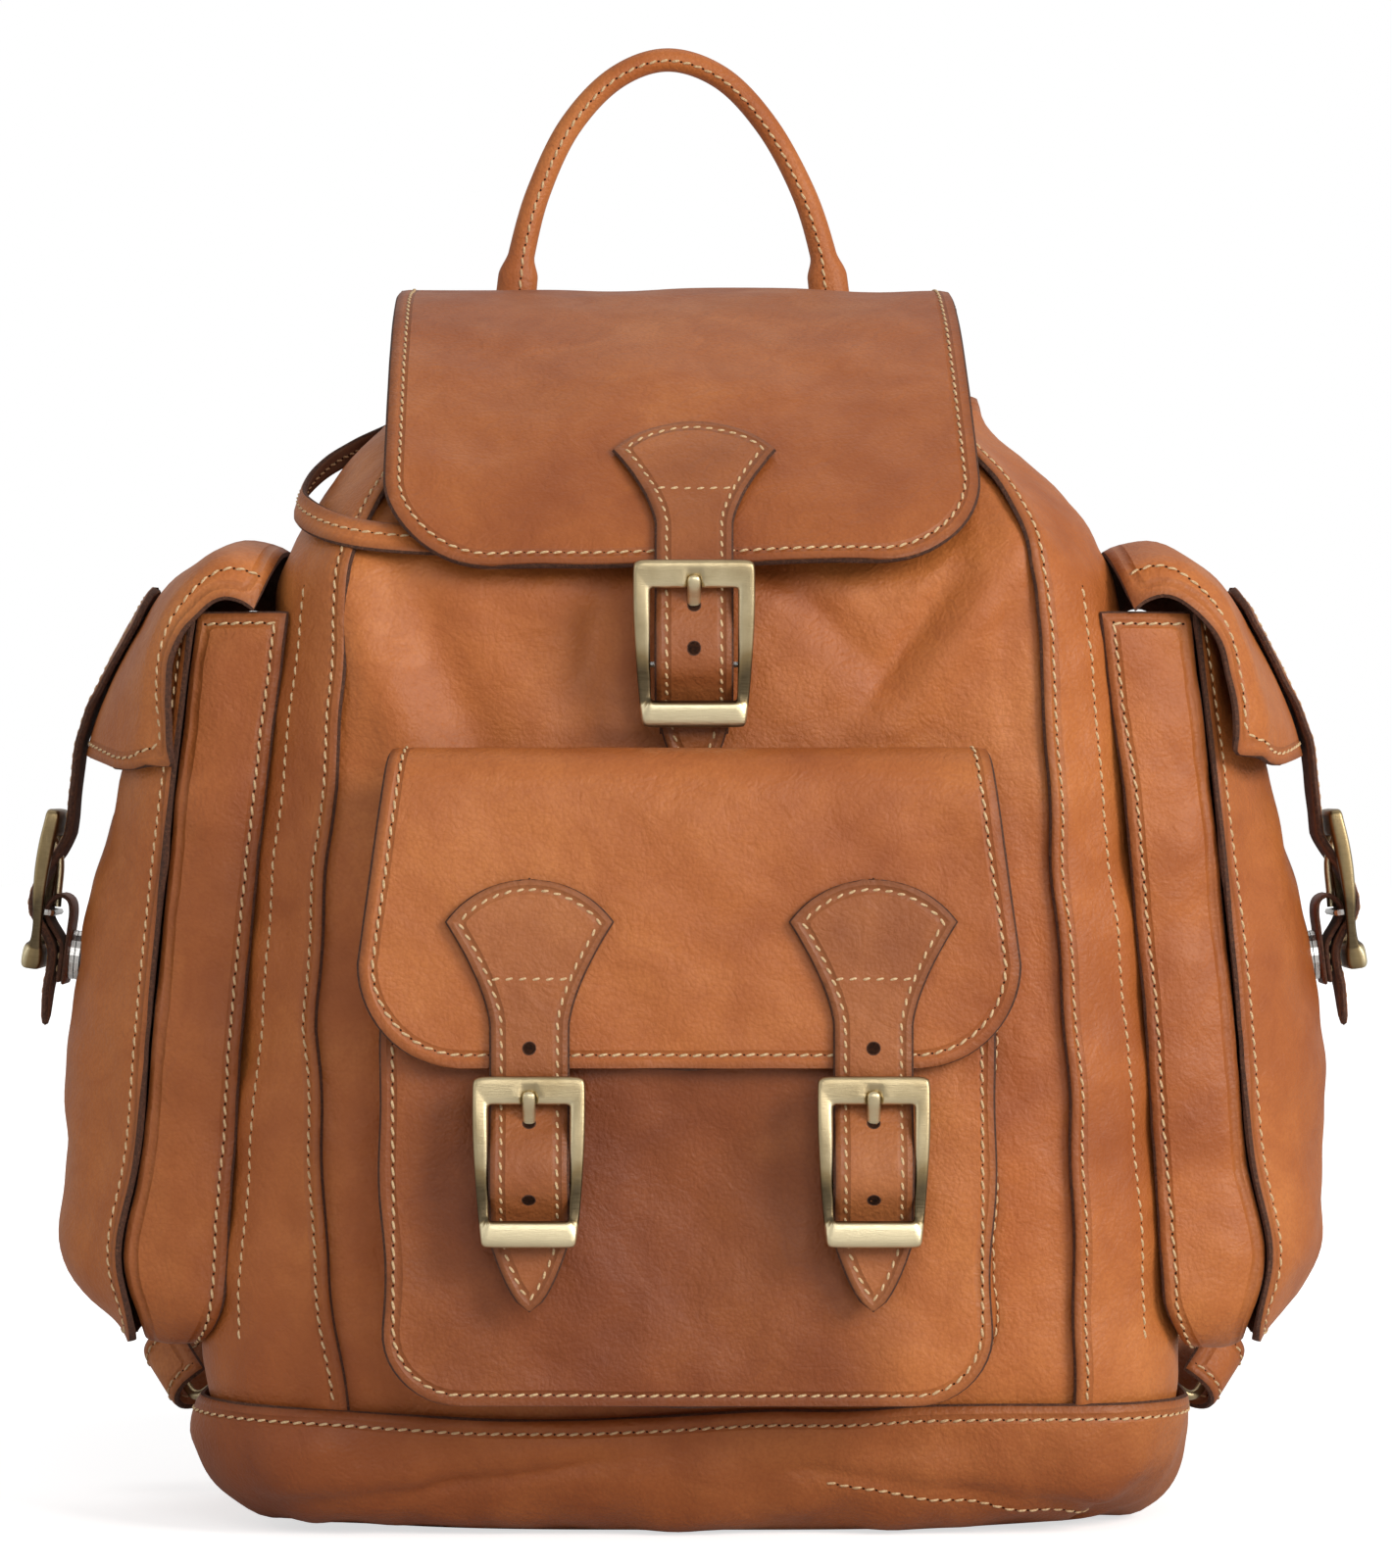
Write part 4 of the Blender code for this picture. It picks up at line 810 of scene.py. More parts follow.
def build_base():
    """The base: the outline at the bottom seam drawn in along a rounded profile, then to the middle."""
    profile = Line(BASE_PROFILE)

    def shape(g, s):
        way = profile(np.clip(s, 0, profile.long))
        out, z = way[..., 0] - HALF_THICK, way[..., 1]
        corner = mound(np.abs(g), 200.0, 75.0) * ease((30.0 - z) / 28.0)
        out, z = out * (1 + 0.9 * corner), z + 2.0 * corner
        rim = girth(g, np.full_like(z, BASE_RIM), 0.0)
        outward = girth(g, np.full_like(z, BASE_RIM), 1.0) - rim
        centre = np.clip((s - profile.long) / TO_MIDDLE, 0, 1)
        point = rim + outward * out[..., None]
        point[..., :2] *= (1 - centre)[..., None]
        dip = (5.0 * mound(g, -60.0, 85.0) + 1.2 * mound(g, 60.0, 22.0)) * ease(1 - s / 30.0)
        point[..., 2] = z - dip
        return point

    def sag(g, s, point):
        fade = np.clip(s / 12.0, 0, 1) * np.clip((profile.long - s) / 14.0, 0, 1)
        off = s - np.interp(g, *BASE_SEAM)
        tuck = -1.5 * mound(off, 1.5, 3.0) * ease((g - 20.0) / 30.0) * ease((215.0 - g) / 30.0)
        off = s - np.interp(g, *BASE_FOLD)
        fold = -2.0 * mound(off, 0.0, 3.6) * ease((g + 205.0) / 40.0) * ease((-15.0 - g) / 40.0)
        return fade * (1.7 * wander(point, 70.0, 21) + 0.95 * wander(point, 28.0, 22) + tuck + fold)

    skin = Skin(shape, -1.0, sag, BODY_STEP)
    under = profile.long + TO_MIDDLE * np.linspace(0, 0.985, 14)
    s = np.concatenate([np.linspace(0, profile.long, 26), under[1:]])[:, None]
    # painted shade: the base is darkened throughout, more towards its underside
    panel("base_leather", "bag", skin, np.linspace(-GIRTH + 0.5, GIRTH - 0.5, 240), s,
          stands_for=["base_pan"], inset=3.8, patina=lambda g, s: 0.28 + 0.25 * ease(s / 30.0))
    rim_run, seam_run = np.linspace(-GIRTH + 4, GIRTH - 4, 900), np.linspace(52.0, 184.0, 200)
    rows = [track(rim_run, 4.2), track(seam_run, np.interp(seam_run, *BASE_SEAM) + 5.6)]
    stitches("stitching_base", "bag", [(skin, row, HALF_THICK) for row in rows])


# ---------------------------------------------------------------- pockets
def pouch_half(z, half, bottom, corner):
    """Half width of a pocket's face: straight, then a quarter round at the bottom."""
    rise = np.clip(corner - (z - bottom), 0, corner)
    return half - corner + np.sqrt(np.maximum(corner ** 2 - rise ** 2, 0))


def pouch_rows(bottom, corner, top, count):
    """Heights of a pocket face's rows, close together where its bottom corners turn."""
    turn = bottom + corner * (1 - np.cos(quarter(12)))
    return np.concatenate([turn, np.linspace(turn[-1], top, count)[1:]])


def pouch_border(half, bottom, corner, top):
    """A pocket's outline from its top right down round to its top left, its inside on the right."""
    a = quarter(14)
    right = np.stack([half - corner + corner * np.cos(a), bottom + corner - corner * np.sin(a)], 1)
    right = np.vstack([[(half, top)], right])
    return np.vstack([right, right[::-1] * (-1, 1)])


FRONT_POCKET = (94.0, 46.0, 24.0, 226.0)       # half width, bottom, corner, top
FRONT_MIDDLE = -2.0
FRONT_FACE = 110.0                             # how far out the face's middle surface is
SIDE_POCKET = (54.0, 60.0, 16.0, 292.0)
STRIP_IN = 1.6                                 # a pocket's strip meets the face this far inside its outline
STRIP_WIDE = 30.0                              # the strip's width as its rows count it
STRIP_TOP = 1.6                                # from the strip's middle surface to its stitches


def pocket_strip(names, pocket, near, far, place, depth_fold, patina):
    """The strip between a pocket's face and the bag: straight lines from foot to seam, folded in a little."""
    half, bottom, corner, top = pocket
    path = evenly(pouch_border(half - STRIP_IN, bottom + STRIP_IN, corner, top), 2.6)
    at = along(path)

    def shape(s, v):
        x, z = np.interp(s, at, path[:, 0]), np.interp(s, at, path[:, 1])
        (x0, d0), (x1, d1) = near(x, z), far(x, z)
        share = v / STRIP_WIDE
        return place(x0 + (x1 - x0) * share, d0 + (d1 - d0) * share, z)

    def sag(s, v, point):
        away = ease(s / 12.0) * ease((at[-1] - s) / 12.0)
        soft = 0.8 * wander(point, 34.0, 31) + 0.3 * wander(point, 14.0, 32)
        return (depth_fold * np.sin(pi * v / STRIP_WIDE) + soft) * away

    skin = Skin(shape, -1.0, sag, 0.3)
    # painted shade: the strip is darkened evenly by the given share
    panel("%s_pocket_gusset_leather%s" % names, "bag", skin, at, np.linspace(0, STRIP_WIDE, 14)[:, None],
          stands_for=["%s_pocket_gusset%s" % names], inset=ROW_INSET, patina=lambda s, v: patina + 0 * s)
    return skin, at[-1]


def build_front_pocket():
    """The front pocket: a face bowed a little, and the strip behind its seam."""
    place = stand(0, FRONT_MIDDLE)
    half, bottom, corner, top = FRONT_POCKET

    def foot(x, z):
        return x * (1.0 + 0.035 * ease(x / 60.0)), body_front(z) + 2.4

    def seam(x, z):
        return x, FRONT_FACE - 1.3 + 0 * x

    # painted shade: the strip's colour is darkened by 0.15 all over
    skin, long = pocket_strip(("front", ""), FRONT_POCKET, foot, seam, place, -2.4, 0.15)
    run = track(np.linspace(4.0, long - 4.0, 700), 3.2)
    stitches("stitching_front_gusset", "bag", [(skin, run, STRIP_TOP)])

    def face_shape(x, z):
        bow = 2.2 * np.cos(np.clip(x / half, -1, 1) * pi / 2)
        return place(x, FRONT_FACE + bow * ease((z - bottom) / 60.0) * ease((195.0 - z) / 50.0), z)

    def face_sag(x, z, point):
        sink = -2.6 * mound(x, 0.0, 34.0) * mound(z, 105.0, 38.0)
        held = ease((half + 1.0 - np.abs(x)) / 14.0) * ease((z - bottom) / 14.0) * ease((200.0 - z) / 40.0)
        return held * (1.2 * wander(point, 80.0, 41) + 0.65 * wander(point, 26.0, 42) + sink)

    # painted shadow of the flap and its straps: the face is darkened over its middle and left, fading out towards the
    # right side and towards the top edge
    def dark(x, z):
        return 0.78 * ease((x + 130.0) / 60.0) * ease((78.0 - x) / 34.0) * ease((226.0 - z) / 30.0)

    face = Skin(face_shape, 1.0, face_sag)
    z = pouch_rows(bottom, corner, top, 62)[:, None]
    wobble = 0.8 * np.sin(z / 17.0) + 0.5 * np.sin(z / 8.0)
    x = np.linspace(-1, 1, 66) * (pouch_half(z, half, bottom, corner) + wobble)
    panel("front_pocket_leather", "bag", face, x, z, stands_for=["front_pocket_panel"], inset=ROW_INSET,
          patina=dark)
    border = pouch_border(half + 0.2, bottom, corner, top - 2)
    stitches("stitching_front_pocket", "bag", [(face, inset_line(border, ROW_INSET), HALF_THICK)])


SIDE_SEAM_OUT = 22.0           # how far a side pocket's seam stands out from the bag's side
FULL_BULGE = 28.0


def side_flare(z):
    """How much further out a side pocket's seam stands low down, tucked in again at the very bottom."""
    return 4.5 * mound(z, 90.0, 20.0) - 3.5 * mound(z, 60.0, 14.0)


def side_bulge(z):
    """How far a side pocket's face stands out from its seam, at its middle."""
    heights = [60.0, 70.0, 82.0, 110.0, 150.0, 200.0, 247.0, 263.0, 289.0, 294.5]
    shares = [0.10, 0.42, 0.72, 0.92, 1.0, 0.93, 0.68, 0.55, 0.26, 0.2]
    return FULL_BULGE * rounded(z, heights, shares, 8.0)


def side_reach(y, z):
    """How far out the body's side is at a place along its depth."""
    turn = front_turn(body_front(z))
    over = np.clip(-y - (body_front(z) - turn), 0, turn)
    behind = np.clip(y - (BACK - BACK_CORNER), 0, BACK_CORNER)
    drop = turn - np.sqrt(turn ** 2 - over ** 2) + BACK_CORNER - np.sqrt(BACK_CORNER ** 2 - behind ** 2)
    return body_width(z) - drop


def build_side_pocket(side, name):
    """A side pocket: a bulging face with a stitched hem, and the strip behind its seam."""
    place = stand(90 * side, -SIDE_MIDDLE * side)
    half, bottom, corner, top = SIDE_POCKET

    def foot(x, z):
        y = side * x - SIDE_MIDDLE
        y = np.where(y < 0, y * 1.105, y * 1.03)
        return side * (y + SIDE_MIDDLE), side_reach(y, z) + 2.2

    def seam(x, z):
        return x, body_width(z) + SIDE_SEAM_OUT - 0.1 + side_flare(z)

    # painted shade: the left pocket's strip, on the side turned from the key lamp, is darkened by 0.30, the right one
    # not at all
    skin, long = pocket_strip(("side", "_" + name), SIDE_POCKET, foot, seam, place, 1.6,
                              0.30 if side < 0 else 0.0)
    fore = long - ROW_INSET if side > 0 else ROW_INSET
    rows = [track(np.linspace(3.0, long - 3.0, 620), ROW_INSET), track(fore, np.linspace(2.5, 27.0, 40))]
    stitches("stitching_side_gusset_pocket_" + name, "bag", [(skin, row, STRIP_TOP) for row in rows])

    def face_shape(x, z):
        bow = side_bulge(z) * (1 - np.clip(np.abs(x / half), 0, 1) ** 2.6)
        return place(x, body_width(z) + SIDE_SEAM_OUT + 1.9 + side_flare(z) + bow, z)

    def face_sag(x, z, point):
        held = ease((half + 1.0 - np.abs(x)) / 14.0) * ease((z - bottom) / 14.0)
        return held * (1.5 * wander(point, 80.0, 51 + side) + 0.6 * wander(point, 28.0, 53))

    face = Skin(face_shape, 1.0, face_sag)
    z = pouch_rows(bottom, corner, top, 74)[:, None]
    wobble = 0.7 * np.sin(z / 15.0) + 0.4 * np.sin(z / 6.5)
    x = np.linspace(-1, 1, 60) * (pouch_half(z, half, bottom, corner) + 0.8 + wobble)
    panel("side_pocket_leather_" + name, "bag", face, x, z, stands_for=["side_pocket_panel_" + name],
          inset=ROW_INSET)
    border = inset_line(pouch_border(half + 0.8, bottom, corner, top - 2), ROW_INSET)
    hem = track(np.linspace(-half + 4, half - 4, 120), top - 4.0)
    stitches("stitching_side_pocket_" + name, "bag", [(face, row, HALF_THICK) for row in (border, hem)])


# ---------------------------------------------------------------- flaps
MAIN_PATH = [(-76.8, 401.5), (-69.0, 402.6), (-58.0, 402.6), (-30.0, 398.3), (0.0, 387.2), (29.0, 368.8),
             (56.8, 344.0), (76.8, 321.0), (86.7, 306.5)]
POCKET_PATH = [(96.5, 247.5), (103.0, 247.6), (109.5, 244.2), (113.4, 236.5), (115.4, 222.0),
               (116.6, 198.0), (117.2, 172.0), (117.6, 150.5)]
SIDE_PATH = [(132.0, 312.0), (139.0, 314.6), (147.0, 315.4), (156.0, 312.0), (168.5, 303.0), (177.5, 290.5),
             (186.5, 274.0), (193.0, 259.0), (196.5, 247.0)]
FLAP_STEP = 2.6                # how far apart a flap's rows and columns are, about


def flap_half(s, total, top, widest, corner):
    """Half width along a flap: a straight taper, then a quarter round at the free corners."""
    half = top + (widest - top) * np.clip(s / (total - corner), 0, 1)
    left = np.clip(corner - (total - s), 0, corner)
    return half - (corner - np.sqrt(np.maximum(corner ** 2 - left ** 2, 0)))


def side_droop(x, share, side):
    """How far a side flap hangs beside its middle, share of the way down.

    Its root bends down at both ends, it sags (the left one more) and its edges fold over the pocket.
    """
    share, beside = np.clip(share, 0, 1), np.clip(np.abs(x) / 60.0, 0, 1)
    hang = 31.0 if side < 0 else 22.0
    fold = 10.0 * ease((np.abs(x) - 53.0) / 9.0) * (1 - 0.3 * share)
    return 15.0 * (1 - share) ** 3 * beside ** 3.5 + hang * share ** 1.35 * beside ** 2.0 + fold


def under_straps(x, s, total, places):
    """0 where a strap is sewn on a flap, 1 away from it, so that the strap lies flat."""
    beneath = np.clip(sum(mound(x, place, 24.0) for place in places) * 1.25, 0, 1)
    return 1 - ease((s - total + 72.0) / 14.0) * beneath


def main_height(x, s, point, total):
    """The main flap's unevenness: soft all over, with a wave along its free edge."""
    soft = 1.0 * wander(point, 95.0, 61) + 0.35 * wander(point, 30.0, 62)
    wave = 1.6 * mound(s, total, 26.0) * np.sin(x / 27.0 + 0.6)
    return (soft + wave) * ease(s / 25.0) * under_straps(x, s, total, (3.3,))


def pocket_height(x, s, point, total):
    """The same for the front pocket's flap."""
    soft = 0.6 * wander(point, 80.0, 63) + 0.38 * wander(point, 24.0, 64)
    wave = 1.0 * mound(s, total, 20.0) * np.sin(x / 21.0)
    return (soft + wave) * ease(s / 30.0) * under_straps(x, s, total, (-49.0, 56.5))


def side_height(x, s, point, total):
    return (0.6 * wander(point, 60.0, 65) + 0.3 * wander(point, 20.0, 66)) * under_straps(x, s, total, (0.0,))


def corner_rows(start, total, corner, straight, turn):
    """Distances down a flap: even as far as its free corners, then closer and closer."""
    return np.concatenate([np.linspace(start, total - corner, straight),
                           total - corner + corner * np.sin(quarter(turn))[1:]])


def both_edges(half, down):
    """A sheet's left edge downward, then its right edge upward, half a width from its middle line."""
    return np.vstack([track(-half, down), track(half, down)[::-1]])


def build_flap(name, lid, path, widths, place, height, patina=0.0, shift=(0.0, 0.0), side=0):
    """A flap: its width runs square to a profile path.

    widths holds its half width at the fold and at the free edge, and its corners' radius; shift how far its
    root lies sideways and how much its free edge differs; side is -1 or 1 for the flaps that hang down.
    """
    line = Line(path)
    total = line.long
    top, widest, corner = widths

    def shape(x, s):
        way = line(s)
        d, z = way[..., 0], way[..., 1]
        if side:
            share = np.clip(s / total, 0, 1)
            droop, turn = side_droop(x, share, side), np.radians(-22.0 + 94.0 * share)
            d, z = d - droop * np.sin(turn), z - droop * np.cos(turn)
        return place(x + shift[0] + shift[1] * np.clip(s / 190.0, 0, 1), d, z)

    skin = Skin(shape, -1.0, lambda x, s, point: height(x, s, point, total))
    s = corner_rows(0, total, corner, int((total - corner) / FLAP_STEP), 16)[:, None]
    x = np.linspace(-1, 1, int(widest * 2 / FLAP_STEP)) * flap_half(s, total, top, widest, corner)
    # painted shade: the flap's colour is darkened evenly by the given share
    panel(name + "_leather", lid, skin, x, s, stands_for=[name], inset=FLAP_INSET, fold=True,
          patina=lambda x, s: patina + 0 * x)
    down = corner_rows(3.0, total, corner, 60, 20)
    border = both_edges(flap_half(down, total, top, widest, corner), down)
    stitches("stitching_" + name, lid, [(skin, inset_line(border, FLAP_INSET), HALF_THICK)], fold=True)


def build_flaps():
    """The four flaps, and the strip that the front pocket's flap folds over."""
    # painted shade: the main flap is darkened evenly by 0.34 and the pocket's flap by 0.14
    build_flap("main_flap", "main_lid", MAIN_PATH, (90.5, 93.5, 34.0), stand(0, 0), main_height,
               patina=0.34, shift=(-8.0, 4.7))
    pocket_place = stand(0, -1.5)
    build_flap("front_pocket_flap", "pocket_lid", POCKET_PATH, (91.0, 101.5, 32.0), pocket_place,
               pocket_height, patina=0.14)
    for side, name in SIDES:
        build_flap("side_flap_" + name, "side_lid_" + name, SIDE_PATH, (58.5, 63.0, 26.0),
                   stand(90 * side, -SIDE_MIDDLE * side), side_height, side=side)
    root = Line([(78.0, 222.0), (78.0, 230.0), (81.2, 236.5), (87.2, 242.2), (94.6, 246.4)])
    skin = Skin(lambda x, s: pocket_place(x, root(s)[..., 0], root(s)[..., 1]), 1.0)
    panel("front_flap_root_leather", "bag", skin, np.linspace(-90, 90, 60),
          np.linspace(0, root.long, 12)[:, None], stands_for=["front_flap_root"])


# ---------------------------------------------------------------- closures
SNAP_STAND = 0.75 + 5.6 + 2 * 1.4 + 3 * 0.3      # from the face behind to the bar
MAIN_BAR, FRONT_BAR, SIDE_BAR = 275.3, 115.0, 195.0    # heights of the buckles' bars
MAIN_SLOPE, SIDE_SLOPE = 9.0, 7.0      # degrees that the main strap leans in and the side pockets' faces out
FRONT_OUT = 112.3                      # how far out the front pocket's face is behind its buckles
MAIN_HANG = 21.0                       # from the main bar up to where its strap leaves the flap
# (out from the bar, up along the strap): the strap's way through the buckle
STRAP_LINE = [(-1.2, 29.0), (-0.9, 25.0), (1.2, 19.8), (4.6, 13.5), (6.8, 7.0), (7.2, 2.0),
              (6.1, -1.5), (2.8, -5.6), (0.0, -9.4), (-1.3, -13.0), (-1.4, -18.0)]


class Closure:
    """One buckled strap; its own axes are x across, y up along it and n out of it.

    bar is the bar's (d, z); lean and rest are the slopes of the buckle and of the face behind it; extra is
    how much wider the frame is on each side; tip holds the (d, z) that the strap's free end passes.
    """

    def __init__(self, name, lid, across, bar, lean, rest, heading, path, fan_drop, extra, tip):
        self.name, self.lid, self.bar, self.heading = name, lid, bar, heading
        self.lean, self.rest = radians(lean), radians(rest)
        self.path, self.fan_drop, self.extra, self.tip = path, fan_drop, extra, tip
        self.stand = stand(heading, across)

    def profile(self, n, y, lean=None):
        """A point of the strap's own axes as (d, z)."""
        lean = self.lean if lean is None else lean
        d, z = self.bar
        return d + n * cos(lean) - y * sin(lean), z + y * cos(lean) + n * sin(lean)

    def place(self, x, y, n, lean=None):
        """A point of the strap's own axes in the world."""
        return self.stand(x, *self.profile(n, y, lean))


def closures():
    """The five closures, each bar standing off the face behind it by the snap's height."""
    front = (FRONT_OUT + SNAP_STAND, FRONT_BAR)
    width = float(np.interp(SIDE_BAR, LEVELS, HALF_WIDTHS))
    bulge = float(np.interp(SIDE_BAR, [150.0, 200.0], [1.0, 0.93]))
    slope = radians(SIDE_SLOPE)
    side = (width + SIDE_SEAM_OUT + 1.8 + FULL_BULGE * bulge + 1.9 + SNAP_STAND * cos(slope),
            SIDE_BAR + SNAP_STAND * sin(slope))
    slope = radians(MAIN_SLOPE)
    out = float(np.interp(MAIN_BAR, LEVELS, FRONTS)) + 0.3 + SNAP_STAND * cos(slope) + MAIN_HANG * sin(slope)
    made = [Closure("main", "main_lid", 0.0, (out, MAIN_BAR), -MAIN_SLOPE, -MAIN_SLOPE, 0, MAIN_PATH,
                    57.0, 1.7, [(out - 5.2, 250.0), (out - 6.3, 243.5)])]
    for name, across in (("pocket_left", -50.5), ("pocket_right", 55.0)):
        made.append(Closure(name, "pocket_lid", across, front, 2.0, 0.0, 0, POCKET_PATH, 58.0, 0.0,
                            [(front[0] - 0.9, 88.0), (front[0] - 1.2, 76.5)]))
    for sign, name in SIDES:
        made.append(Closure("side_" + name, "side_lid_" + name, -SIDE_MIDDLE * sign, side, 8.0, SIDE_SLOPE,
                            90 * sign, SIDE_PATH, 58.0, 0.0,
                            [(side[0] + 2.7, 171.0), (side[0] + 3.8, 160.0)]))
    return made


FAN_PEAK, FAN_WIDE, FAN_LONG, TIP_LONG, STRAP_HALF = 13.0, 25.4, 45.0, 21.0, 11.7
STRAP_INSET, STRAP_THICK, STRAP_SEW = 3.1, 2.7, 1.2    # its stitches lie STRAP_SEW over its middle
FAN_LIFT, SIDE_FAN_LIFT = 3.2, 3.9     # from a flap's middle surface to the middle of the strap sewn on it


def strap_half(s, total, blunt):
    """Half width of a strap: an arc up to the fan's corners, hollow flanks down to the strap, and a tip.

    The tip is pointed, or round where the strap is a blunt one.
    """
    radius = (FAN_WIDE ** 2 + FAN_PEAK ** 2) / (2 * FAN_PEAK)
    arc = np.sqrt(np.maximum(radius ** 2 - (radius - np.clip(s, 0, FAN_PEAK)) ** 2, 1.0))
    narrow = np.clip(1 - (s - FAN_PEAK) / (FAN_LONG - FAN_PEAK), 0, 1)
    flank = STRAP_HALF + (FAN_WIDE - STRAP_HALF) * narrow ** 1.5
    tip = STRAP_HALF * np.clip((total - s) / TIP_LONG, 0.004, 1) ** (0.30 if blunt else 0.58)
    return np.where(total - s < TIP_LONG, np.maximum(tip, 0.6), np.where(s < FAN_PEAK, arc, flank))


def strap_rows(total, first, fan, run, tip):
    """Distances down a strap, close together at the fan's peak and where its tip begins."""
    return np.concatenate([FAN_PEAK * (1 - np.cos(quarter(fan, first))),
                           np.linspace(FAN_PEAK, total - TIP_LONG, run)[1:],
                           total - TIP_LONG * np.cos(quarter(tip))[1:]])


def build_strap(closure):
    """The strap: sewn to the flap by its fan, under the frame's top bar, over the bar and on to its tip."""
    flap_line = Line(closure.path)
    start = flap_line.long - closure.fan_drop
    s = np.linspace(start, flap_line.long - 1, 9)
    way = unit(flap_line(s + 0.5) - flap_line(s - 0.5))
    lift = FAN_LIFT if closure.heading == 0 else SIDE_FAN_LIFT
    outer = flap_line(s) + lift * np.stack([-way[:, 1], way[:, 0]], 1)
    below = [closure.profile(n, y) for n, y in STRAP_LINE]
    below = [p for p in below if p[1] < outer[-1][1] - 4]
    line = Line(np.vstack([outer, below, closure.tip]))
    total, blunt = line.long, closure.name == "main"

    def shape(x, s):
        way = line(s)
        return closure.stand(x, way[..., 0], way[..., 1])

    def sag(x, s, point):
        lie = 0.13 * wander(point, 22.0, 71) + 0.07 * wander(point, 8.0, 72)
        if closure.heading == 0:
            return lie
        share = (start + s) / flap_line.long
        return lie - side_droop(x, share, closure.heading) * ease((FAN_LONG - s) / 8.0)

    skin = Skin(shape, -1.0, sag)
    rows = strap_rows(total, 0.0, 12, 78, 14)[:, None]
    x = np.linspace(-1, 1, 15) * strap_half(rows, total, blunt)
    panel("strap_leather_" + closure.name, closure.lid, skin, x, rows, STRAP_THICK, STRAP_TAN,
          ["strap_" + closure.name], STRAP_INSET, "trim_leather")
    edge = strap_rows(total, 0.02, 24, 120, 24)
    border = inset_line(closed_line(both_edges(strap_half(edge, total, blunt), edge)), STRAP_INSET)
    cross = track(np.linspace(-12.4, 12.4, 30), 30.5)
    rows = [(skin, row, STRAP_SEW) for row in (border, cross)]
    stitches("stitching_strap_" + closure.name, closure.lid, rows, **SHORT)
    wanted = (6.0, 18.4) if blunt else (-3.6, 18.4, 42.0)
    return skin, [s for s in (line_at(line, closure, y) for y in wanted) if s is not None]


def line_at(line, closure, y):
    """Distance along the strap at which it passes a height of the closure's own axes."""
    d, z = closure.bar
    heights = (line.points[:, 1] - z) * cos(closure.lean) - (line.points[:, 0] - d) * sin(closure.lean)
    nearest = int(np.argmin(np.abs(heights - y)))
    return line.at[nearest] if abs(heights[nearest] - y) < 1.0 else None


EYE_RADIUS, EYE_SIDES = 1.9, 28
# the eye's rings from outside in, then the one below: share of the radius, height over the strap's middle
EYE_RINGS = ((1.2, 1.24), (1.1, 1.44), (0.98, 1.40), (0.9, 1.37), (0.5, 1.365), (0.02, 1.36), (1.2, 1.0))


def build_eye(name, body, skin, s):
    """A punched hole: a shallow dish coloured dark as the hole's painted shadow, whose burnished rim stands a hair
    proud of the strap.
    """
    a = np.linspace(0, 2 * pi, EYE_SIDES, endpoint=False)
    points = []
    for share, height in EYE_RINGS:
        at, normal = skin.read(share * EYE_RADIUS * np.cos(a), s + share * EYE_RADIUS * np.sin(a))
        points.append(at + normal * height)
    centre, normal = skin.read(np.zeros(1), np.array([float(s)]))
    points += [centre + normal * 1.36, centre + normal * 1.0]
    k = np.arange(EYE_SIDES)
    after = (k + 1) % EYE_SIDES
    faces = []
    for low, high in ((0, 1), (1, 2), (2, 3), (3, 4), (4, 5), (6, 0)):
        low, high = low * EYE_SIDES, high * EYE_SIDES
        faces += np.stack([high + k, high + after, low + after, low + k], 1).tolist()
    top, under = len(EYE_RINGS) * EYE_SIDES, len(EYE_RINGS) * EYE_SIDES + 1
    faces += np.stack([5 * EYE_SIDES + after, 5 * EYE_SIDES + k, 0 * k + top], 1).tolist()
    faces += np.stack([6 * EYE_SIDES + k, 6 * EYE_SIDES + after, 0 * k + under], 1).tolist()
    kinds = np.repeat([0, 0, 1, 1, 1, 0, 1, 1], EYE_SIDES)
    piece(name, body, np.vstack(points), faces, [RAW, HOLE_SHADOW], kinds, (), "trim_leather")


FRAME_SIDES = 28
FRAME_HALF, WINDOW_HALF = 17.3, 12.5
FRAME_TOP, FRAME_BOTTOM = 33.4, -19.0  # above and below the bar


def frame_stations(half, window):
    """Outer point, inner point, middle n and half thickness of the frame, round its right half."""
    top, bottom = FRAME_TOP, FRAME_BOTTOM
    lip, sill = top - 8.7, bottom + 8.2
    return np.array([
        (0.0, top, 0.0, lip, 3.75, 2.35),
        (half - 5.0, top, window - 3.0, lip, 3.75, 2.35),
        (half - 2.4, top - 0.1, window - 0.9, lip, 3.75, 2.35),
        (half - 0.5, top - 0.8, window - 0.2, lip - 0.3, 3.75, 2.35),
        (half, top - 2.6, window, lip - 1.0, 3.8, 2.35),
        (half, 17.0, window, 15.0, 5.2, 2.45),
        (half - 0.6, 6.0, window, 5.0, 5.1, 1.95),
        (half - 1.3, -4.0, window - 0.1, -4.0, 4.2, 1.4),
        (half - 1.9, sill + 0.4, window - 0.2, sill + 1.6, 4.0, 1.7),
        (half - 2.3, bottom + 4.6, window - 0.4, sill + 0.4, 4.6, 2.9),
        (half - 2.7, bottom + 1.4, window - 0.9, sill + 0.05, 4.7, 3.2),
        (half - 3.4, bottom + 0.3, window - 1.4, sill, 4.7, 3.3),
        (half - 5.2, bottom, window - 2.4, sill, 4.7, 3.3),
        (0.0, bottom, 0.0, sill, 4.7, 3.3)])


def prong_seat(x, y):
    """How far the frame's top is cut down for the prong, less the rim raised round the cut."""
    seat = 1.9 * np.exp(-(np.abs(x) / 2.45) ** 6) * np.exp(-(np.maximum(y - 28.3, 0) / 1.3) ** 2)
    return seat - 0.45 * mound(np.hypot(x, np.maximum(y - 25.5, 0) * 1.1), 3.4, 0.7)


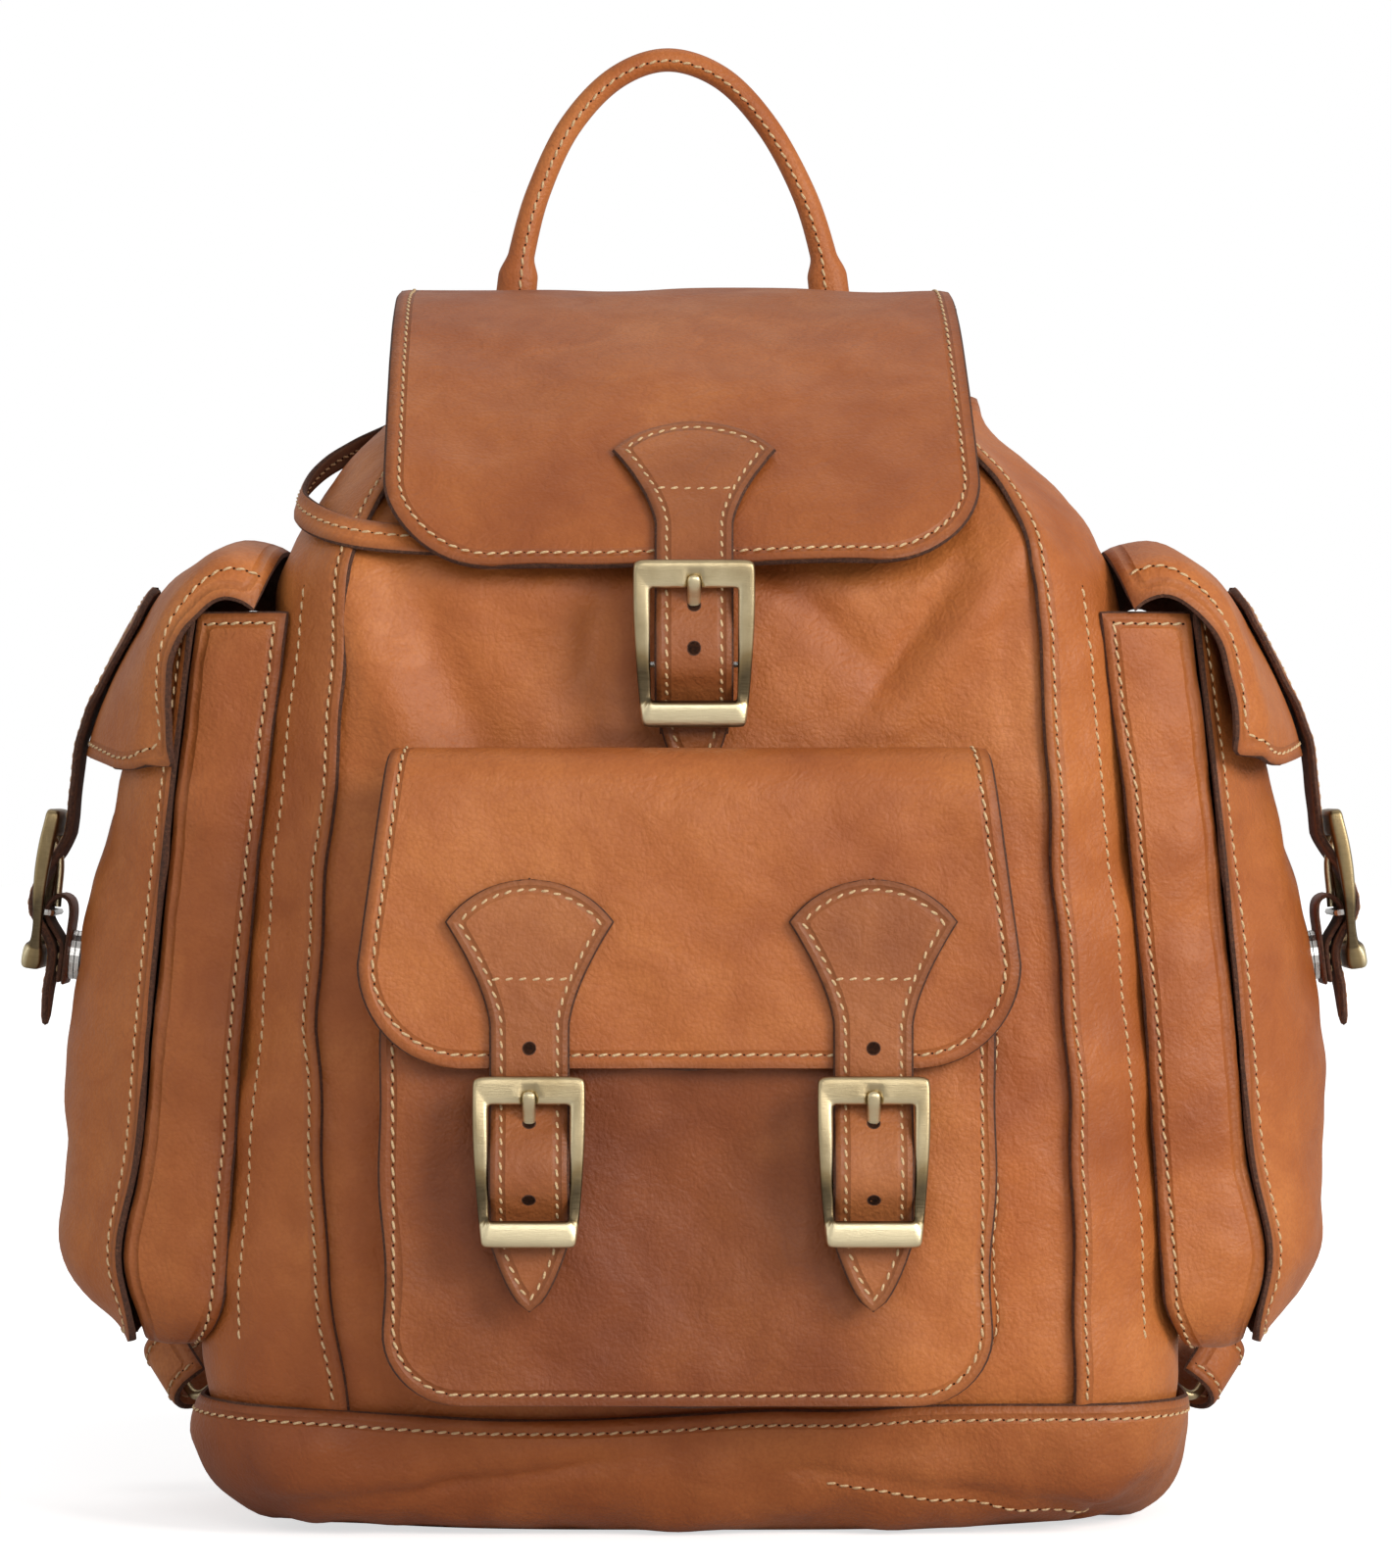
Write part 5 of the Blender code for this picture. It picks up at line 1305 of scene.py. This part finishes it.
def build_frame(closure):
    """The cast frame: a pillow section carried through the stations, mirrored, with a seat for the prong."""
    knots = frame_stations(FRAME_HALF + closure.extra, WINDOW_HALF + closure.extra * 0.7)
    first = [0.0, 0.04, 0.07, 0.1, 0.13, 0.17, 0.22, 0.3, 0.5, 0.8]
    last = len(knots) - 1
    station = between(np.concatenate([first, np.arange(1, last + 0.01, 0.25)]), np.arange(last + 1), knots)
    for _ in range(2):
        station[11:-1] = (station[10:-2] + 2 * station[11:-1] + station[12:]) / 4
    loop = np.vstack([station, station[::-1][1:-1] * (-1, 1, -1, 1, 1, 1)])
    angle = np.linspace(0, 2 * pi, FRAME_SIDES, endpoint=False) + pi / FRAME_SIDES
    across, rise = squared(angle, 0.5)
    centre = (loop[:, :2] + loop[:, 2:4]) / 2
    reach = (loop[:, :2] - loop[:, 2:4]) / 2
    xy = centre[:, None] + reach[:, None] * across[None, :, None]
    x, y, rise = xy[..., 0], xy[..., 1], rise[None]
    n = loop[:, 4, None] + loop[:, 5, None] * rise + 0.35 * ease((y - 16.0) / 9.0)
    n = n - np.where((y > 24.0) & (np.abs(x) < 4.0) & (rise > 0.2), prong_seat(x, y), 0.0)
    faces = ring_faces(len(loop), FRAME_SIDES, True)[:, [0, 3, 2, 1]]
    inner, upper = np.clip(-across[None], 0, 1), ease(rise)
    # brass tone: faces turned out are paler, partly rubbed wear and partly painted highlight, most at the window's
    # edge; the window's inner faces are darker, partly lacquer left in them and partly painted shade
    worn = 0.24 + 0.36 * upper + 0.45 * inner ** 2 * upper - 0.4 * (inner > 0.8) * ease(0.4 - rise)
    # painted shade on the lower rails beside the strap, and a painted highlight on the bottom bar's outer face
    worn = worn - 0.75 * ease((9.0 - y) / 14.0) * (y > -11.5) + 0.35 * (y < -11.0) * upper
    points = closure.place(x, y, n).reshape(-1, 3)
    piece("buckle_frame_brass_" + closure.name, "buckle_" + closure.name, points, faces, [BRASS], None,
          ["buckle_frame_" + closure.name], "brass", worn=worn.ravel())


# (out from the bar, up along the strap)
PRONG_LINE = [(0.1, 1.8), (0.5, 8.0), (0.8, 14.0), (1.5, 18.0), (3.1, 21.5), (5.1, 25.0), (5.8, 27.3),
              (5.8, 29.0)]


def build_prong(closure):
    """The prong: an oval bar from the staple up through the strap to its seat in the frame."""
    line = evenly(Line(PRONG_LINE).points, 0.6)
    at = along(line)
    left = at[-1] - at
    wide = 2.1 * np.sqrt(np.clip(1 - (1 - np.clip(left / 1.9, 0, 1)) ** 2, 0.02, 1))
    path = closure.place(0 * at, line[:, 1], line[:, 0])
    out = closure.place(0.0, 0.0, 1.0) - closure.place(0.0, 0.0, 0.0)
    tube("prong_brass_" + closure.name, "buckle_" + closure.name, path, wide, BRASS, out, 20, squash=0.62,
         stands_for=["prong_" + closure.name], slot="steel", worn=0.85, square=0.8)


THIN = 1.5                     # thickness of the chapes and the ring tabs
CHAPE_LINE = [(-22.0, -4.0), (-11.5, -4.0), (-8.0, -2.6), (-3.0, 1.2), (0.0, 2.35), (2.6, 2.1), (5.0, 0.3),
              (5.9, -2.0), (4.4, -4.6), (0.5, -5.6), (-6.0, -5.6), (-22.5, -5.6)]


def build_chape(closure):
    """The keeper: a band from its sewn end up round the bar and down behind, between strap and pocket."""
    line = Line(CHAPE_LINE)

    def shape(x, s):
        way = line(s)
        return closure.place(x, way[..., 0], way[..., 1], closure.rest)

    skin = Skin(shape, 1.0)
    x, s = np.linspace(-10.5, 10.5, 15), np.linspace(0, line.long, 60)[:, None]
    panel("chape_leather_" + closure.name, closure.lid, skin, x, s, THIN, STRAP_TAN,
          ["chape_" + closure.name], 2.4, "trim_leather")
    rows = [(skin, track(at, np.linspace(2.0, 15.0, 20)), THIN / 2) for at in (-8.0, 8.0)]
    stitches("stitching_chape_" + closure.name, closure.lid, rows, **FINE)


def repaint(node, finish):
    """Give a CAD node a finer finish; its mesh stays."""
    item = frame["nodes"][node]
    item.data.materials.clear()
    item.data.materials.append(finish)
    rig.slot(item, "steel")


def build_closures():
    for closure in closures():
        skin, eyes = build_strap(closure)
        for index, s in enumerate(eyes):
            build_eye("strap_hole_%s_%d" % (closure.name, index + 1), closure.lid, skin, s)
        build_frame(closure)
        build_chape(closure)
        build_prong(closure)
        for part in ("buckle_bar_", "snap_cap_", "snap_base_"):
            repaint(part + closure.name, STEEL)


# ---------------------------------------------------------------- drawstring, handle, back
STRIP_RUN = [                   # place round the girth, height, and how far outside the bag's outline
    (122.0, 326.0, 4.6), (96.0, 321.5, 5.0), (0.0, 317.0, 5.6), (-98.0, 314.5, 5.8), (-146.0, 315.0, 6.6),
    (-179.0, 318.0, 7.0), (-212.0, 325.0, 8.0), (-233.0, 332.5, 8.8), (-246.0, 340.5, 8.4),
    (-262.0, 347.0, 6.8), (-305.0, 353.0, 5.4), (-350.0, 357.5, 5.2)]


def build_drawstring():
    """The flat strip drawn round the neck: a band on edge along a path, with a slack loop on the left."""
    g, z, out = np.array(STRIP_RUN).T
    knots = girth(g, z, out)
    slope = unit(girth(g, z + 3.0, out) - girth(g, z - 3.0, out))
    slope[6:10] = slope[6:10] * 0.5 + np.array([0.0, 0.0, 0.5])
    path, at = Line(knots), along(knots)
    at *= path.long / at[-1]

    skin = Skin(lambda s, w: path(s) + w[..., None] * between(s, at, slope), -1.0)
    panel("mouth_strip_leather", "bag", skin, np.linspace(0, path.long, 170),
          np.linspace(-5.5, 5.5, 9)[:, None], 2.2, stands_for=["mouth_strip"], slot="trim_leather")
    run = track(np.linspace(4, path.long - 4, 400), 0.4)
    stitches("stitching_mouth_strip", "bag", [(skin, run, 1.1), (skin, run, -1.1)])


def handle_section(foot):
    """Half width of the handle, and its depth as a share of that, at a distance from the nearer foot."""
    roll = 4.0 + 0.9 * ease(1 - foot / 70.0)
    wide = roll + 2.1 * ease((31.0 - foot) / 8.0)
    return wide, roll / wide * (1 - 0.45 * ease(1 - foot / 26.0))


HANDLE_PATH = [(-60.0, 83.6, 388.0), (-61.0, 84.4, 396.0), (-60.5, 86.0, 406.0), (-58.5, 87.4, 420.0),
               (-53.0, 88.0, 440.0), (-42.5, 88.0, 462.0), (-27.0, 88.0, 478.5), (-9.0, 88.0, 484.8),
               (9.5, 88.0, 478.5), (25.0, 88.0, 462.0), (37.0, 88.0, 440.0), (43.5, 87.4, 420.0),
               (45.8, 86.0, 406.0), (46.2, 84.4, 396.0), (45.6, 83.6, 388.0)]
BACKWARD = np.array([0.0, 1.0, 0.0])
SEAM_RADIUS = 4.5              # the handle's seam is read round a circle of this radius


def build_handle():
    """The rolled handle: an oval section along an arch that leans a little to the left."""
    path = Line(HANDLE_PATH)
    s = np.linspace(0, path.long, 260)
    wide, share = handle_section(np.minimum(s, path.long - s))
    tube("carry_handle_leather", "handle", path(s), wide, TAN, BACKWARD, 32, squash=share,
         stands_for=["carry_handle"], slot="body_leather")

    def shape(s, a):
        way = unit(path(s + 0.5) - path(s - 0.5))
        back = unit(BACKWARD - way * way[..., 1:2])
        wide, share = handle_section(np.minimum(s, path.long - s))
        turn = a / SEAM_RADIUS
        return (path(s) + np.cross(way, back) * (np.cos(turn) * wide)[..., None]
                + back * (np.sin(turn) * (share * wide))[..., None])

    seam = track(np.linspace(6, path.long - 6, 500), -SEAM_RADIUS * radians(100.0))
    stitches("stitching_handle", "handle", [(Skin(shape, 1.0), seam, 0.05)], **SHORT)


YOKE_LOW, YOKE_HIGH = (72.0, 345.0), (88.0, 399.7)     # half width, height
YOKE_OUT = 76.8


def build_back():
    """The patch across the back's top."""
    place = stand(180, 0)
    yoke = Skin(lambda x, z: place(x, YOKE_OUT, z), 1.0, lambda x, z, p: 0.3 * wander(p, 50.0, 81))
    (low_half, low), (high_half, high) = YOKE_LOW, YOKE_HIGH
    z = np.linspace(low, high, 24)[:, None]
    x = np.linspace(-1, 1, 60) * np.interp(z, [low, high], [low_half, high_half])
    panel("back_yoke_leather", "bag", yoke, x, z, stands_for=["back_yoke"], inset=SEAM_INSET)
    border = [(high_half, high - 0.7), (low_half, low), (-low_half, low), (-high_half, high - 0.7)]
    stitches("stitching_back_yoke", "bag", [(yoke, inset_line(border, SEAM_INSET), HALF_THICK)])


RING_CENTRE = (167.5, 80.0, 45.0)
RING_OUT = np.array([0.8, 0.0, -0.6])          # away from the bag
RING_ALONG = np.array([0.6, 0.0, 0.8])         # as the ring's two leather bars run
RING_TWIST = radians(34.0)                     # the ring's lower end stands nearer the bag's front


def corner_place(side):
    """Maps (out, along, y) beside a ring to the world; along is how its two leather bars run."""
    (cx, _, cz), (out_x, _, out_z) = RING_CENTRE, RING_OUT

    def place(out, along_, y):
        return np.stack(np.broadcast_arrays(side * (cx + out_x * out - out_z * along_), y,
                                            cz + out_z * out + out_x * along_), -1)
    return place


def twist(point, share, side):
    """Turn a point about the line through the ring's middle along RING_OUT, share of the whole twist."""
    mirror = (side, 1.0, 1.0)
    at = point * mirror - RING_CENTRE
    angle = RING_TWIST * share
    a, y = at @ RING_ALONG, at @ BACKWARD
    turned = ((at @ RING_OUT)[..., None] * RING_OUT
              + (a * np.cos(angle) - y * np.sin(angle))[..., None] * RING_ALONG
              + (a * np.sin(angle) + y * np.cos(angle))[..., None] * BACKWARD)
    return (turned + RING_CENTRE) * mirror


SHOULDER_TOP = (28.0, 374.0)
# outward, up and backward from the top: the strap's middle line
SHOULDER_BOW = [(0.0, 0.0, 0.0), (2.0, -12.0, 2.2), (5.0, -40.0, 11.0), (13.5, -80.0, 24.0),
                (27.0, -130.0, 35.0), (45.0, -184.0, 40.0), (65.0, -233.0, 37.0), (87.0, -271.0, 28.0),
                (106.0, -297.0, 17.5)]


def build_shoulder(side, name):
    """A shoulder strap: its width runs square to a bowed path that ends in a curl round the ring's bar."""
    corner = corner_place(1)
    plane, loop = RING_CENTRE[1], 8.8
    top_x, top_z = SHOULDER_TOP
    top_y = 78.3 + 2.0 + HALF_THICK
    down = [(top_x + x, top_y + y, top_z + z) for x, z, y in SHOULDER_BOW]
    down += [corner(-14.0, 0.0, plane + loop + 1.4), corner(-6.0, 0.0, plane + loop + 0.2)]
    middle = 17.0 - HALF_THICK - loop
    curl = [corner(middle + loop * sin(a), 0.0, plane + loop * cos(a)) for a in np.linspace(0, pi, 8)]
    line = Line(down + curl + [corner(1.0, 0.0, plane - loop)])
    bend = line.at[LINE_STEPS * (len(down) - 1)]

    def shape(s, w):
        share = ease((s - bend + 30.0) / 30.0)[..., None]
        way = unit(line(s + 1.0) - line(s - 1.0)) * (1 - share) + RING_OUT * share
        across = unit(np.stack([-way[..., 2], 0 * way[..., 1], way[..., 0]], -1))
        point = line(s) + across * w[..., None]
        return twist(point * (side, 1.0, 1.0), ease((s - bend + 45.0) / 50.0), side)

    def sag(s, w, point):
        return (0.35 * wander(point, 60.0, 91) + 0.15 * wander(point, 22.0, 92)) * ease((bend - s) / 40.0)

    def half(s):
        return np.interp(s, [0, 40, bend * 0.68, bend * 0.9], [16.0, 18.0, 18.0, 11.5])

    skin = Skin(shape, -1.0 if side > 0 else 1.0, sag)
    s = np.concatenate([np.linspace(0, bend, 130), np.linspace(bend, line.long, 34)[1:]])
    w = np.linspace(-1, 1, 17)[:, None] * half(s)
    panel("shoulder_strap_leather_" + name, "shoulder_" + name, skin, s, w,
          stands_for=["shoulder_strap_" + name], inset=SEAM_INSET, inner=STRAP_TAN)
    run = np.linspace(4.0, line.long - 2.0, 700)
    rows = [(skin, track(run, sign * (half(run) - ROW_INSET)), lift) for sign in (-1, 1)
            for lift in (HALF_THICK, -HALF_THICK)]
    stitches("stitching_shoulder_" + name, "shoulder_" + name, rows)


def build_ring(side, name):
    """The ring: a round wire along a rounded rectangle."""
    place = corner_place(side)
    points = []
    for turn, (sx, sy) in enumerate(((1, 1), (-1, 1), (-1, -1), (1, -1))):
        a = turn * pi / 2 + quarter(9)
        points.append(place(sx * 6.0 + 4.0 * np.cos(a), sy * 10.0 + 4.0 * np.sin(a), RING_CENTRE[1]))
    wire = evenly(closed_line(twist(np.vstack(points), 1.0, side)), 1.0)[:-1]
    tube("corner_ring_brass_" + name, "shoulder_" + name, wire, 1.7, BRASS, BACKWARD, 18, closed=True,
         stands_for=["corner_ring_" + name], worn=0.62)


def build_tab(side, name):
    """The tab: two layers on the bag's back corner, folded in a loop round the ring's inner bar."""
    place = corner_place(side)
    plane = RING_CENTRE[1]
    hole = 3.3                                 # radius of the loop's inside
    middle = -10.0 + 1.7 + 0.9 - hole
    eye = hole + THIN / 2
    low, high = 75.3 + THIN / 2, 75.3 + THIN * 1.5
    knots = [(middle - 28.0, low), (middle - 12.0, low), (middle - eye - 1.5, low + 0.1)]
    knots += [(middle + eye * cos(a), plane + eye * sin(a)) for a in np.linspace(-pi + 0.75, pi - 0.5, 14)]
    knots += [(middle - eye - 5.5, high + 0.1), (middle - 15.0, high), (middle - 28.0, high)]
    line = Line(knots)

    def shape(s, w):
        way = line(s)
        return twist(place(way[..., 0], w, way[..., 1]), ease((way[..., 0] + 26.0) / 14.0), side)

    skin = Skin(shape, 1.0 if side > 0 else -1.0)
    panel("ring_tab_leather_" + name, "bag", skin, np.linspace(0, line.long, 80),
          np.linspace(-10.0, 10.0, 13)[:, None], THIN, STRAP_TAN, ["ring_tab_" + name], 2.6, "trim_leather")
    run = np.linspace(line.long - 20.0, line.long - 3.0, 40)
    rows = [(skin, track(run, at), -THIN / 2) for at in (-7.4, 7.4)]
    stitches("stitching_tab_" + name, "bag", rows, **FINE)


# ---------------------------------------------------------------- studio
def add_node(tree, kind, operation=None, **values):
    """A new node of the studio's trees, its inputs set by name."""
    item = tree.nodes.new("ShaderNode" + kind)
    if operation:
        item.operation = operation
    for name, value in values.items():
        item.inputs[name.replace("_", " ")].default_value = value
    return item


def build_floor():
    """A white floor that keeps a soft shadow and glows for the camera, more brightly away from the bag."""
    mesh = bpy.data.meshes.new("studio_floor")
    a = FLOOR_HALF
    mesh.from_pydata([(-a, -a, 0.0), (a, -a, 0.0), (a, a, 0.0), (-a, a, 0.0)], [], [(0, 1, 2, 3)])
    floor = bpy.data.objects.new("studio_floor", mesh)
    bpy.context.scene.collection.objects.link(floor)
    made = bpy.data.materials.new("studio_white")
    made.use_nodes = True
    tree = made.node_tree
    tree.nodes.clear()
    join = tree.links.new
    out = add_node(tree, "OutputMaterial")
    matt = add_node(tree, "BsdfDiffuse", Color=(0.8, 0.8, 0.8, 1.0))
    glow = add_node(tree, "Emission")
    ray = add_node(tree, "LightPath")
    level = add_node(tree, "Math", "MULTIPLY")
    place = add_node(tree, "TexCoord")
    away = add_node(tree, "VectorMath", "LENGTH")
    fade = add_node(tree, "MapRange", From_Min=0.35, From_Max=1.1, To_Min=0.66, To_Max=1.0)
    both = add_node(tree, "AddShader")
    join(place.outputs["Object"], away.inputs[0])
    join(away.outputs["Value"], fade.inputs["Value"])
    join(ray.outputs["Is Camera Ray"], level.inputs[0])
    join(fade.outputs["Result"], level.inputs[1])
    join(level.outputs[0], glow.inputs["Strength"])
    join(matt.outputs[0], both.inputs[0])
    join(glow.outputs[0], both.inputs[1])
    join(both.outputs[0], out.inputs["Surface"])
    mesh.materials.append(made)
    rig.stage(floor)


def build_world():
    """An even white room: brightest to the camera, then in the shiny parts, weakest as light on the bag."""
    world = bpy.data.worlds.new("studio")
    bpy.context.scene.world = world
    world.use_nodes = True
    tree = world.node_tree
    shade = tree.nodes["Background"]
    shade.inputs["Color"].default_value = (1.0, 1.0, 1.0, 1.0)
    ray = add_node(tree, "LightPath")
    level = add_node(tree, "Value").outputs[0]
    level.default_value = AMBIENT
    for output, extra in (("Is Camera Ray", 1.0 - AMBIENT), ("Is Glossy Ray", MIRRORED - AMBIENT)):
        more = add_node(tree, "Math", "MULTIPLY_ADD")
        more.inputs[1].default_value = extra
        tree.links.new(ray.outputs[output], more.inputs[0])
        tree.links.new(level, more.inputs[2])
        level = more.outputs[0]
    tree.links.new(level, shade.inputs["Strength"])


def build_lamps():
    """A large lamp high on the right and weaker ones in front, on the left and above."""
    for name, place, aim, size, power, tone in LAMPS:
        lamp = bpy.data.lights.new(name, "AREA")
        lamp.shape = "SQUARE"
        lamp.size, lamp.energy, lamp.color = size, power, tone
        item = bpy.data.objects.new(name, lamp)
        item.location = place
        item.rotation_euler = (Vector(aim) - Vector(place)).to_track_quat("-Z", "Y").to_euler()
        bpy.context.scene.collection.objects.link(item)


FLOOR_HALF = 12.0              # metres, as are the lamps' and the camera's places
AMBIENT = 0.30                 # the pale room's own light on the bag
MIRRORED = 0.60                # and as its shiny parts see it
LAMPS = [                      # name, place, aim, size, power in watts, colour
    ("key_lamp", (1.9, -1.8, 1.15), (0.0, 0.0, 0.22), 1.1, 50.0, (1.0, 0.97, 0.93)),
    ("front_lamp", (0.3, -2.6, 1.2), (0.0, 0.0, 0.22), 1.2, 16.0, (1.0, 1.0, 1.0)),
    ("fill_lamp", (-1.9, -1.2, 0.9), (0.0, 0.0, 0.2), 1.4, 5.0, (0.97, 0.98, 1.0)),
    ("top_lamp", (0.1, 0.5, 2.2), (0.0, 0.0, 0.3), 1.5, 6.0, (1.0, 1.0, 1.0)),
]


CAMERA_AWAY = 2.0
FRAME_TALL = 0.512             # how much the picture shows from bottom to top at the bag's middle
SENSOR = 36.0


def build_camera():
    """Level and straight on to the bag's front."""
    lens = bpy.data.cameras.new("camera")
    lens.sensor_width = SENSOR
    lens.sensor_fit = "AUTO"
    lens.lens = SENSOR * CAMERA_AWAY / FRAME_TALL
    lens.clip_end = 100.0
    camera = bpy.data.objects.new("camera", lens)
    camera.location = (0.0006, -CAMERA_AWAY, 0.238)
    camera.rotation_euler = (radians(90), 0.0, 0.0)
    bpy.context.scene.collection.objects.link(camera)
    bpy.context.scene.camera = camera
    bpy.context.scene.view_settings.view_transform = "Standard"


build_camera()
build_floor()
build_world()
build_lamps()
build_body()
build_base()
build_front_pocket()
for side_sign, side_name in SIDES:
    build_side_pocket(side_sign, side_name)
build_flaps()
build_closures()
build_drawstring()
build_handle()
build_back()
for side_sign, side_name in SIDES:
    build_shoulder(side_sign, side_name)
    build_ring(side_sign, side_name)
    build_tab(side_sign, side_name)

with open("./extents.json", "w") as sizes:
    json.dump({"cad": [list(map(float, corner)) for corner in CAD_BOX],
               "visual": [list(map(float, corner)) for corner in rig.bounds()]}, sizes)
